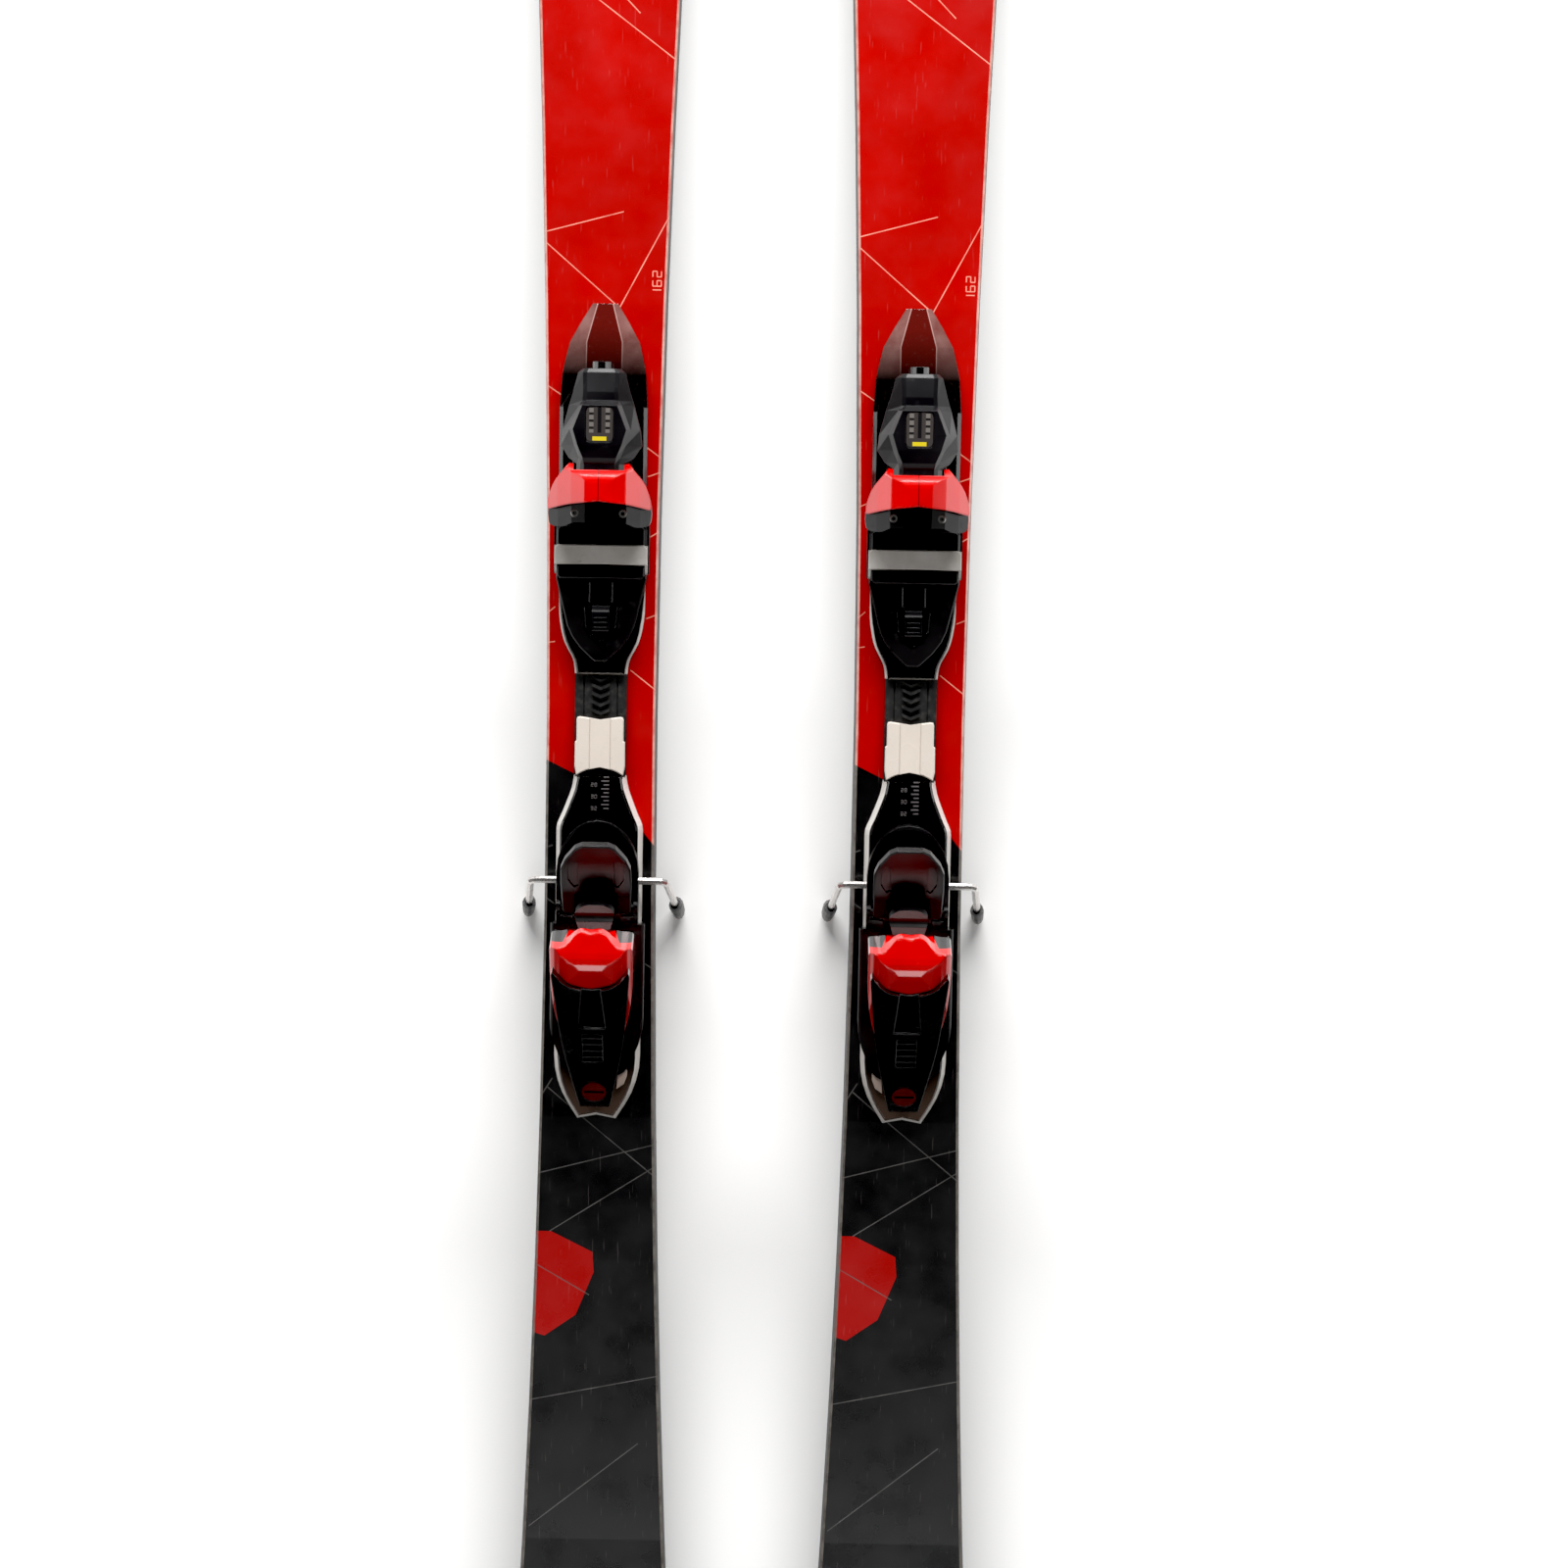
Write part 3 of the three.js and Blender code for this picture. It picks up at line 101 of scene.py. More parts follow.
# The length mark, reading towards the tip: strokes of the figures 1, 6 and 2.
PRINTED_LINES += [(36, 275, 30.4, 275)]
PRINTED_LINES += [(30.4, 277.4, 30.4, 281), (30.4, 277.4, 36, 277.4), (33.2, 277.4, 33.2, 281),
                  (36, 277.4, 36, 281), (33.2, 281, 36, 281)]
PRINTED_LINES += [(30.4, 283.4, 30.4, 287), (30.4, 287, 33.2, 287), (33.2, 283.4, 33.2, 287),
                  (33.2, 283.4, 36, 283.4), (36, 283.4, 36, 287)]
PRINT_WIDTH = 0.7  # mm
# The ski turns from red to black across two slanting fronts hidden by the plates between them.
BLACK_FRONTS = [(-35, -33.5, -17.4, -42.1), (30.2, -82.1, 36.4, -90.0)]
# A deep red panel near the left edge of the tail, as corners in turn.
TAIL_PANEL = [(-50, -352), (-30, -352), (-2, -366), (-1, -380), (-13, -410), (-34, -425), (-50, -420)]


def ski_millimetres(tree, place, centre):
    """The place on one ski, in mm from its centre line and the boot centre."""
    moved = add(tree, "ShaderNodeVectorMath", {0: place, 1: (-centre, -BOOT_Y, 0)}, operation="ADD")
    return add(tree, "ShaderNodeVectorMath", {0: moved, "Scale": 1000}, operation="SCALE")


def line_sides(x0, y0, x1, y1):
    """The unit direction of a line, its unit normal to the left and its start."""
    along = Vector((x1 - x0, y1 - y0, 0)).normalized()
    across = Vector((-along.y, along.x, 0))
    start = Vector((x0, y0, 0))
    return along, across, start


def distance_across(tree, where, x0, y0, x1, y1):
    """Signed distance in mm from a line, positive on its left."""
    _, across, start = line_sides(x0, y0, x1, y1)
    dot = add(tree, "ShaderNodeVectorMath", {0: where, 1: across}, operation="DOT_PRODUCT")
    return add(tree, "ShaderNodeMath", {0: dot, 1: across.dot(start)}, operation="SUBTRACT")


def printed_line(tree, where, x0, y0, x1, y1, width):
    """1 on a printed line of a width in mm, 0 beside it."""
    along, _, start = line_sides(x0, y0, x1, y1)
    length = math.dist((x0, y0), (x1, y1))
    off = distance_across(tree, where, x0, y0, x1, y1)
    dot = add(tree, "ShaderNodeVectorMath", {0: where, 1: along}, operation="DOT_PRODUCT")
    near = add(tree, "ShaderNodeMath", {0: off, 1: 0.0, 2: width / 2}, operation="COMPARE")
    within = add(tree, "ShaderNodeMath", {
        0: dot, 1: along.dot(start) + length / 2, 2: length / 2,
    }, operation="COMPARE")
    return add(tree, "ShaderNodeMath", {0: near, 1: within}, operation="MULTIPLY")


def inside_panel(tree, where, corners):
    """1 inside a convex outline whose corners run clockwise."""
    inside = None
    for (x0, y0), (x1, y1) in zip(corners, corners[1:] + corners[:1]):
        here = add(tree, "ShaderNodeMath", {
            0: distance_across(tree, where, x0, y0, x1, y1), 1: 0.0,
        }, operation="LESS_THAN")
        if inside is not None:
            here = add(tree, "ShaderNodeMath", {0: inside, 1: here}, operation="MULTIPLY")
        inside = here
    return inside


def lacquered_topsheet(hand):
    """Printed polyamide topsheet under clear lacquer: deep gloss, hairline scratches, rubbed pale edges."""
    material, tree, place = blank_material(f"lacquered_topsheet_{hand}")
    where = ski_millimetres(tree, place, HANDS[hand])
    left, right = (distance_across(tree, where, *front) for front in BLACK_FRONTS)
    black = add(tree, "ShaderNodeMath", {
        0: add(tree, "ShaderNodeMath", {0: left, 1: 0.0}, operation="LESS_THAN"),
        1: add(tree, "ShaderNodeMath", {0: right, 1: 0.0}, operation="LESS_THAN"),
    }, operation="MULTIPLY")
    cloud = add(tree, "ShaderNodeTexNoise", {"Vector": place, "Scale": 1 / (90 * MM), "Roughness": 0.55})
    red = add(tree, "ShaderNodeMix", {
        "Factor": add(tree, "ShaderNodeMapRange", {"Value": cloud, "From Min": 0.35, "From Max": 0.65}),
        FIRST: "#AE0500", SECOND: "#A20500",
    }, data_type="RGBA")
    dark = add(tree, "ShaderNodeMix", {
        "Factor": add(tree, "ShaderNodeMapRange", {"Value": cloud, "From Min": 0.35, "From Max": 0.65}),
        FIRST: "#050506", SECOND: "#0A090A",
    }, data_type="RGBA")
    panel = inside_panel(tree, where, TAIL_PANEL)
    dark = add(tree, "ShaderNodeMix", {"Factor": panel, FIRST: dark, SECOND: "#9C0601"}, data_type="RGBA")
    colour = add(tree, "ShaderNodeMix", {"Factor": black, FIRST: red, SECOND: dark}, data_type="RGBA")
    lines = None
    for line in PRINTED_LINES:
        mark = printed_line(tree, where, *line, PRINT_WIDTH)
        if lines is not None:
            mark = add(tree, "ShaderNodeMath", {0: lines, 1: mark}, operation="MAXIMUM")
        lines = mark
    ink = add(tree, "ShaderNodeMix", {
        "Factor": black, FIRST: "#E59A86", SECOND: "#585654",
    }, data_type="RGBA")
    fade = add(tree, "ShaderNodeMapRange", {
        "Value": add(tree, "ShaderNodeTexNoise", {
            "Vector": place, "Scale": 1 / (12 * MM), "Detail": 3.0, "Roughness": 0.55,
        }),
        "From Min": 0.3, "From Max": 0.6, "To Min": 0.45, "To Max": 0.95,
    })
    colour = add(tree, "ShaderNodeMix", {
        "Factor": add(tree, "ShaderNodeMath", {0: lines, 1: fade}, operation="MULTIPLY"),
        FIRST: colour, SECOND: ink,
    }, data_type="RGBA")
    # hairline scratches, slantwise to the ski and drawn coarser than they are, about a millimetre wide
    stretched = add(tree, "ShaderNodeMapping", {
        "Vector": place, "Rotation": (0, 0, 0.5), "Scale": (1, 0.05, 1),
    })
    hair = add(tree, "ShaderNodeTexNoise", {"Vector": stretched, "Scale": 900, "Detail": 2.0})
    scratches = add(tree, "ShaderNodeMapRange", {"Value": hair, "From Min": 0.68, "From Max": 0.74})
    colour = add(tree, "ShaderNodeMix", {
        "Factor": add(tree, "ShaderNodeMath", {0: scratches, 1: 0.06}, operation="MULTIPLY"),
        FIRST: colour, SECOND: "#B8ACA6",
    }, data_type="RGBA")
    # the bevel round the sheet is rubbed pale
    normal = add(tree, "ShaderNodeSeparateXYZ", {0: add(tree, "ShaderNodeNewGeometry").outputs["Normal"]})
    bevel = add(tree, "ShaderNodeMapRange", {
        "Value": add(tree, "ShaderNodeMath", {0: normal.outputs["X"]}, operation="ABSOLUTE"),
        "From Min": 0.25, "From Max": 0.4,
    })
    rub = add(tree, "ShaderNodeMapRange", {
        "Value": add(tree, "ShaderNodeTexNoise", {
            "Vector": place, "Scale": 1 / (9 * MM), "Detail": 3.0, "Roughness": 0.55,
        }),
        "From Min": 0.35, "From Max": 0.6, "To Min": 0.5,
    })
    edge = add(tree, "ShaderNodeMix", {
        "Factor": black, FIRST: "#C9968A", SECOND: "#6D6862",
    }, data_type="RGBA")
    colour = add(tree, "ShaderNodeMix", {
        "Factor": add(tree, "ShaderNodeMath", {0: bevel, 1: rub}, operation="MULTIPLY"),
        FIRST: colour, SECOND: edge,
    }, data_type="RGBA")
    roughness = add(tree, "ShaderNodeMapRange", {
        "Value": add(tree, "ShaderNodeTexNoise", {
            "Vector": place, "Scale": 1 / (30 * MM), "Detail": 3.0, "Roughness": 0.55,
        }),
        "From Min": 0.3, "From Max": 0.7, "To Min": 0.24, "To Max": 0.36,
    })
    height = add(tree, "ShaderNodeTexNoise", {
        "Vector": place, "Scale": 1 / (22 * MM), "Detail": 1.0, "Roughness": 0.55,
    })
    shader = add(tree, "ShaderNodeBsdfPrincipled", {
        "Base Color": colour, "Roughness": roughness, "IOR": 1.5, "Coat Weight": 0.5, "Coat Roughness": 0.12,
        "Normal": add(tree, "ShaderNodeBump", {"Height": height, "Distance": 0.02 * MM}),
    })
    return finish_material(material, tree, shader)


# ------------------------------------------------------------------ other ski materials

def abs_sidewall():
    """Sawn and ground ABS sidewall over the wood core: satin black with lengthwise grinding marks."""
    material, tree, place = blank_material("ground_abs_sidewall")
    stretched = add(tree, "ShaderNodeMapping", {"Vector": place, "Scale": (1, 0.02, 1)})
    marks = add(tree, "ShaderNodeTexNoise", {
        "Vector": stretched, "Scale": 1 / (0.6 * MM), "Detail": 3.0, "Roughness": 0.55,
    })
    colour = add(tree, "ShaderNodeMix", {
        "Factor": add(tree, "ShaderNodeMapRange", {"Value": marks, "From Min": 0.4, "From Max": 0.7}),
        FIRST: "#1B1A1B", SECOND: "#4B4845",
    }, data_type="RGBA")
    shader = add(tree, "ShaderNodeBsdfPrincipled", {
        "Base Color": colour,
        "Roughness": add(tree, "ShaderNodeMapRange", {
            "Value": marks, "From Min": 0.3, "From Max": 0.7, "To Min": 0.42, "To Max": 0.6,
        }),
        "IOR": 1.54, "Normal": add(tree, "ShaderNodeBump", {"Height": marks, "Distance": 0.05 * MM}),
    })
    return finish_material(material, tree, shader)


def sintered_polyethylene():
    """Sintered base, stone-ground and waxed: dull black with fine lengthwise structure and wax bloom."""
    material, tree, place = blank_material("sintered_polyethylene_base")
    stretched = add(tree, "ShaderNodeMapping", {"Vector": place, "Scale": (1, 0.01, 1)})
    structure = add(tree, "ShaderNodeTexNoise", {
        "Vector": stretched, "Scale": 1 / (0.8 * MM), "Detail": 3.0, "Roughness": 0.55,
    })
    bloom = add(tree, "ShaderNodeTexNoise", {
        "Vector": place, "Scale": 1 / (60 * MM), "Detail": 3.0, "Roughness": 0.55,
    })
    colour = add(tree, "ShaderNodeMix", {
        "Factor": add(tree, "ShaderNodeMapRange", {"Value": bloom, "From Min": 0.4, "From Max": 0.7}),
        FIRST: "#101011", SECOND: "#232325",
    }, data_type="RGBA")
    shader = add(tree, "ShaderNodeBsdfPrincipled", {
        "Base Color": colour,
        "Roughness": add(tree, "ShaderNodeMapRange", {
            "Value": bloom, "From Min": 0.3, "From Max": 0.7, "To Min": 0.38, "To Max": 0.58,
        }),
        "IOR": 1.51, "Normal": add(tree, "ShaderNodeBump", {"Height": structure, "Distance": 0.04 * MM}),
    })
    return finish_material(material, tree, shader)


def ground_steel_edge():
    """Hardened carbon-steel edge, machine ground along its length, with specks of rust."""
    material, tree, place = blank_material("ground_steel_edge")
    stretched = add(tree, "ShaderNodeMapping", {"Vector": place, "Scale": (1, 0.02, 1)})
    marks = add(tree, "ShaderNodeTexNoise", {
        "Vector": stretched, "Scale": 1 / (0.4 * MM), "Detail": 3.0, "Roughness": 0.55,
    })
    rust = add(tree, "ShaderNodeMapRange", {
        "Value": add(tree, "ShaderNodeTexNoise", {
            "Vector": place, "Scale": 1 / (7 * MM), "Detail": 5.0, "Roughness": 0.55,
        }),
        "From Min": 0.62, "From Max": 0.72,
    })
    steel = add(tree, "ShaderNodeMix", {
        "Factor": marks, FIRST: "#A8AAAC", SECOND: "#C9CACB",
    }, data_type="RGBA")
    shader = add(tree, "ShaderNodeBsdfPrincipled", {
        "Base Color": add(tree, "ShaderNodeMix", {
            "Factor": add(tree, "ShaderNodeMath", {0: rust, 1: 0.5}, operation="MULTIPLY"),
            FIRST: steel, SECOND: "#7A4A2C",
        }, data_type="RGBA"),
        "Metallic": 1.0,
        "Roughness": add(tree, "ShaderNodeMapRange", {
            "Value": marks, "From Min": 0.3, "From Max": 0.7, "To Min": 0.22, "To Max": 0.4,
        }),
        "Normal": add(tree, "ShaderNodeBump", {"Height": marks, "Distance": 0.03 * MM}),
    })
    return finish_material(material, tree, shader)


# ------------------------------------------------------------------ binding materials

def moulded_plastic(name, base, worn, roughness, texture_mm, depth_mm, coat=0.0, scuff=0.25, edge_mm=0.5,
                    shine=0.5):
    """Injection-moulded plastic: spark-eroded grain, slow colour drift and rubbed patches."""
    material, tree, place = blank_material(name)
    fine = add(tree, "ShaderNodeTexNoise", {
        "Vector": place, "Scale": 1 / (texture_mm * MM), "Roughness": 0.55,
    })
    drift = add(tree, "ShaderNodeTexNoise", {"Vector": place, "Scale": 1 / (35 * MM), "Roughness": 0.55})
    rubbed = add(tree, "ShaderNodeMapRange", {
        "Value": add(tree, "ShaderNodeTexNoise", {
            "Vector": place, "Scale": 1 / (6 * MM), "Detail": 5.0, "Roughness": 0.7,
        }),
        "From Min": 0.6, "From Max": 0.72,
    })
    colour = add(tree, "ShaderNodeMix", {
        "Factor": add(tree, "ShaderNodeMath", {0: rubbed, 1: scuff}, operation="MULTIPLY"),
        FIRST: base, SECOND: worn,
    }, data_type="RGBA")
    colour = add(tree, "ShaderNodeMix", {
        "Factor": add(tree, "ShaderNodeMapRange", {
            "Value": drift, "From Min": 0.3, "From Max": 0.7, "To Max": 0.12,
        }),
        FIRST: colour, SECOND: worn,
    }, data_type="RGBA")
    uneven = add(tree, "ShaderNodeMath", {
        0: add(tree, "ShaderNodeMapRange", {
            "Value": drift, "From Min": 0.3, "From Max": 0.7, "To Min": -0.05, "To Max": 0.05,
        }),
        1: add(tree, "ShaderNodeMapRange", {"Value": rubbed, "To Max": 0.12}),
    }, operation="ADD")
    shader = add(tree, "ShaderNodeBsdfPrincipled", {
        "Base Color": colour,
        "Roughness": add(tree, "ShaderNodeMath", {0: uneven, 1: roughness}, operation="ADD"), "IOR": 1.53,
        "Coat Weight": coat, "Coat Roughness": 0.08, "Specular IOR Level": shine,
        "Normal": add(tree, "ShaderNodeBump", {
            "Height": fine, "Distance": depth_mm * MM,
            "Normal": add(tree, "ShaderNodeBevel", {"Radius": edge_mm * MM}, samples=4),
        }),
    })
    return finish_material(material, tree, shader)


def smoked_polycarbonate():
    """Smoked polycarbonate cover: near-black gloss that thins to let the ski's red glow at the nose."""
    material, tree, place = blank_material("smoked_polycarbonate")
    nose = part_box("left_front_cover")[1][1]
    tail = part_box("left_rear_cover")[0][1]
    where = add(tree, "ShaderNodeSeparateXYZ", {0: place})
    along = where.outputs["Y"]
    across = add(tree, "ShaderNodeMath", {
        0: add(tree, "ShaderNodeMath", {
            0: add(tree, "ShaderNodeMath", {0: where.outputs["X"]}, operation="ABSOLUTE"), 1: HANDS["right"],
        }, operation="SUBTRACT"),
    }, operation="ABSOLUTE")
    drift = add(tree, "ShaderNodeTexNoise", {
        "Vector": place, "Scale": 1 / (14 * MM), "Detail": 4.0, "Roughness": 0.55,
    })
    dust = add(tree, "ShaderNodeMapRange", {
        "Value": add(tree, "ShaderNodeTexNoise", {
            "Vector": place, "Scale": 1 / (2.5 * MM), "Detail": 5.0, "Roughness": 0.7,
        }),
        "From Min": 0.62, "From Max": 0.75,
    })
    # the nose shows the red of the sheet below it
    glow = add(tree, "ShaderNodeMapRange", {
        "Value": along, "From Min": nose - 46 * MM, "From Max": nose - 14 * MM,
    })
    # the thin end of the rear cover lets a brown through
    amber = add(tree, "ShaderNodeMapRange", {
        "Value": along, "From Min": tail + 36 * MM, "From Max": tail + 8 * MM,
    })
    # the middle facet of the nose glows red, and the two beside it are frosted by wear; a pale line along
    # each facet edge is a painted highlight
    facet_edge = add(tree, "ShaderNodeMapRange", {
        "Value": along, "From Min": nose - 25 * MM, "From Max": nose, "To Min": 11.6 * MM, "To Max": 5 * MM,
    })
    frosted = add(tree, "ShaderNodeMath", {0: across, 1: facet_edge}, operation="GREATER_THAN")
    # painted highlight: a pale line on each facet edge, where the edge catches the light
    line = add(tree, "ShaderNodeMath", {0: across, 1: facet_edge, 2: 0.35 * MM}, operation="COMPARE")
    cloudy = add(tree, "ShaderNodeMapRange", {
        "Value": drift, "From Min": 0.3, "From Max": 0.7, "To Min": 0.35,
    })
    nose_colour = add(tree, "ShaderNodeMix", {
        "Factor": frosted, FIRST: "#571410",
        SECOND: add(tree, "ShaderNodeMix", {
            "Factor": cloudy, FIRST: "#5A1B17", SECOND: "#86605B",
        }, data_type="RGBA"),
    }, data_type="RGBA")
    # lay the pale painted highlight along the facet edges
    nose_colour = add(tree, "ShaderNodeMix", {
        "Factor": line, FIRST: nose_colour, SECOND: "#A98680",
    }, data_type="RGBA")
    colour = add(tree, "ShaderNodeMix", {
        "Factor": add(tree, "ShaderNodeMapRange", {"Value": drift, "From Min": 0.3, "From Max": 0.7}),
        FIRST: "#060505", SECOND: "#0C0908",
    }, data_type="RGBA")
    colour = add(tree, "ShaderNodeMix", {
        "Factor": glow, FIRST: colour, SECOND: nose_colour,
    }, data_type="RGBA")
    colour = add(tree, "ShaderNodeMix", {
        "Factor": amber, FIRST: colour, SECOND: "#4A3B32",
    }, data_type="RGBA")
    colour = add(tree, "ShaderNodeMix", {
        "Factor": add(tree, "ShaderNodeMath", {0: dust, 1: 0.12}, operation="MULTIPLY"),
        FIRST: colour, SECOND: "#8E8580",
    }, data_type="RGBA")
    shader = add(tree, "ShaderNodeBsdfPrincipled", {
        "Base Color": colour,
        "Roughness": add(tree, "ShaderNodeMapRange", {"Value": dust, "To Min": 0.09, "To Max": 0.3}),
        "IOR": 1.585, "Alpha": 0.9, "Coat Weight": 0.6, "Coat Roughness": 0.05,
        "Normal": add(tree, "ShaderNodeBump", {
            "Height": dust, "Distance": 0.02 * MM,
            "Normal": add(tree, "ShaderNodeBevel", {"Radius": 0.6 * MM}, samples=4),
        }),
    })
    return finish_material(material, tree, shader)


def polished_red_abs(name):
    """High-gloss red ABS under lacquer: saturated colour, hard reflections and a few nicks.

    The visor has its mould's seam down the middle; the cup's front beside its tongue is painted near-black as
    painted shade.
    """
    material, tree, place = blank_material(f"polished_red_abs_{name}")
    drift = add(tree, "ShaderNodeTexNoise", {"Vector": place, "Scale": 1 / (30 * MM), "Roughness": 0.55})
    nicks = add(tree, "ShaderNodeMapRange", {
        "Value": add(tree, "ShaderNodeTexNoise", {
            "Vector": place, "Scale": 1 / (3 * MM), "Detail": 6.0, "Roughness": 0.75,
        }),
        "From Min": 0.7, "From Max": 0.74,
    })
    colour = add(tree, "ShaderNodeMix", {
        "Factor": add(tree, "ShaderNodeMapRange", {"Value": drift, "From Min": 0.3, "From Max": 0.7}),
        FIRST: "#C60603", SECOND: "#B80502",
    }, data_type="RGBA")
    colour = add(tree, "ShaderNodeMix", {
        "Factor": add(tree, "ShaderNodeMath", {0: nicks, 1: 0.35}, operation="MULTIPLY"),
        FIRST: colour, SECOND: "#F0A79B",
    }, data_type="RGBA")
    where = add(tree, "ShaderNodeSeparateXYZ", {0: place})
    off = add(tree, "ShaderNodeMath", {
        0: add(tree, "ShaderNodeMath", {0: where.outputs["X"]}, operation="ABSOLUTE"), 1: HANDS["right"],
    }, operation="SUBTRACT")
    if name == "visor":
        # the seam, half a millimetre wide
        colour = add(tree, "ShaderNodeMix", {
            "Factor": add(tree, "ShaderNodeMath", {0: off, 1: 0.0, 2: 0.25 * MM}, operation="COMPARE"),
            FIRST: colour, SECOND: "#5A0402",
        }, data_type="RGBA")
    if name == "cup":
        # painted shade: near-black where the front stands beside the widening tongue
        behind = add(tree, "ShaderNodeMath", {
            0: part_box("left_heel_cup")[1][1], 1: where.outputs["Y"],
        }, operation="SUBTRACT")
        tongue = add(tree, "ShaderNodeMapRange", {
            "Value": behind, "From Max": 12 * MM, "To Min": 13.2 * MM, "To Max": 19.8 * MM,
        })
        beside = add(tree, "ShaderNodeMath", {
            0: add(tree, "ShaderNodeMath", {0: off}, operation="ABSOLUTE"), 1: tongue,
        }, operation="GREATER_THAN")
        ahead = add(tree, "ShaderNodeMath", {0: behind, 1: 9.2 * MM}, operation="LESS_THAN")
        # lay the near-black painted shade over the cup's front corners
        colour = add(tree, "ShaderNodeMix", {
            "Factor": add(tree, "ShaderNodeMath", {0: beside, 1: ahead}, operation="MULTIPLY"),
            FIRST: colour, SECOND: "#0B0909",
        }, data_type="RGBA")
    shader = add(tree, "ShaderNodeBsdfPrincipled", {
        "Base Color": colour,
        "Roughness": add(tree, "ShaderNodeMapRange", {"Value": nicks, "To Min": 0.14, "To Max": 0.4}),
        "IOR": 1.53, "Coat Weight": 1.0, "Coat Roughness": 0.03,
        "Normal": add(tree, "ShaderNodeBump", {
            "Height": drift, "Distance": 0.05 * MM,
            "Normal": add(tree, "ShaderNodeBevel", {"Radius": 1.6 * MM}, samples=4),
        }),
    })
    return finish_material(material, tree, shader)


def scuffed_ptfe():
    """Filled low-friction pad: warm white, satin, with dark scuffs left by boot soles."""
    material, tree, place = blank_material("scuffed_low_friction_pad")
    stretched = add(tree, "ShaderNodeMapping", {"Vector": place, "Scale": (0.35, 1, 1)})
    scuffs = add(tree, "ShaderNodeMapRange", {
        "Value": add(tree, "ShaderNodeTexNoise", {
            "Vector": stretched, "Scale": 1 / (3 * MM), "Detail": 6.0, "Roughness": 0.7,
        }),
        "From Min": 0.63, "From Max": 0.72,
    })
    soil = add(tree, "ShaderNodeMapRange", {
        "Value": add(tree, "ShaderNodeTexNoise", {
            "Vector": place, "Scale": 1 / (20 * MM), "Detail": 3.0, "Roughness": 0.55,
        }),
        "From Min": 0.35, "From Max": 0.7,
    })
    colour = add(tree, "ShaderNodeMix", {
        "Factor": soil, FIRST: "#BFBBB6", SECOND: "#A9A49D",
    }, data_type="RGBA")
    colour = add(tree, "ShaderNodeMix", {
        "Factor": add(tree, "ShaderNodeMath", {0: scuffs, 1: 0.55}, operation="MULTIPLY"),
        FIRST: colour, SECOND: "#6E655E",
    }, data_type="RGBA")
    shader = add(tree, "ShaderNodeBsdfPrincipled", {
        "Base Color": colour,
        "Roughness": add(tree, "ShaderNodeMapRange", {"Value": scuffs, "To Min": 0.3, "To Max": 0.5}),
        "IOR": 1.38, "Normal": add(tree, "ShaderNodeBump", {"Height": scuffs, "Distance": 0.03 * MM}),
    })
    return finish_material(material, tree, shader)


def steel(name, light, dark, roughness, stretch):
    """Plated or bright-drawn steel with streaks left by drawing or turning."""
    material, tree, place = blank_material(name)
    stretched = add(tree, "ShaderNodeMapping", {"Vector": place, "Scale": stretch})
    marks = add(tree, "ShaderNodeTexNoise", {
        "Vector": stretched, "Scale": 1 / (0.7 * MM), "Detail": 4.0, "Roughness": 0.55,
    })
    spots = add(tree, "ShaderNodeMapRange", {
        "Value": add(tree, "ShaderNodeTexNoise", {
            "Vector": place, "Scale": 1 / (2.5 * MM), "Detail": 5.0, "Roughness": 0.7,
        }),
        "From Min": 0.6, "From Max": 0.72,
    })
    colour = add(tree, "ShaderNodeMix", {
        "Factor": add(tree, "ShaderNodeMath", {0: spots, 1: 0.5}, operation="MULTIPLY"),
        FIRST: add(tree, "ShaderNodeMix", {"Factor": marks, FIRST: light, SECOND: dark}, data_type="RGBA"),
        SECOND: "#5E5650",
    }, data_type="RGBA")
    shader = add(tree, "ShaderNodeBsdfPrincipled", {
        "Base Color": colour, "Metallic": 1.0,
        "Roughness": add(tree, "ShaderNodeMapRange", {
            "Value": marks, "From Min": 0.3, "From Max": 0.7, "To Min": roughness,
            "To Max": roughness + 0.14,
        }),
        "Normal": add(tree, "ShaderNodeBump", {"Height": marks, "Distance": 0.02 * MM}),
    })
    return finish_material(material, tree, shader)


def worn_brake_foot():
    """Black nylon brake foot, ground pale grey where it has dragged."""
    material, tree, place = blank_material("worn_nylon_brake_foot")
    height = add(tree, "ShaderNodeSeparateXYZ", {0: place}).outputs["Z"]
    ragged = add(tree, "ShaderNodeMath", {
        0: add(tree, "ShaderNodeTexNoise", {
            "Vector": place, "Scale": 1 / (4 * MM), "Detail": 5.0, "Roughness": 0.55,
        }),
        1: 12 * MM, 2: height,
    }, operation="MULTIPLY_ADD")
    worn = add(tree, "ShaderNodeMapRange", {
        "Value": ragged, "From Min": 12 * MM, "From Max": 18 * MM, "To Min": 1.0, "To Max": 0.0,
    })
    colour = add(tree, "ShaderNodeMix", {
        "Factor": add(tree, "ShaderNodeMath", {0: worn, 1: 0.85}, operation="MULTIPLY"),
        FIRST: "#1D1B1C", SECOND: "#A39C96",
    }, data_type="RGBA")
    shader = add(tree, "ShaderNodeBsdfPrincipled", {
        "Base Color": colour,
        "Roughness": add(tree, "ShaderNodeMapRange", {"Value": worn, "To Min": 0.38, "To Max": 0.65}),
        "IOR": 1.53,
        "Normal": add(tree, "ShaderNodeBump", {
            "Height": add(tree, "ShaderNodeTexNoise", {
                "Vector": place, "Scale": 1 / (0.8 * MM), "Detail": 3.0, "Roughness": 0.55,
            }),
            "Distance": 0.1 * MM,
        }),
    })
    return finish_material(material, tree, shader)


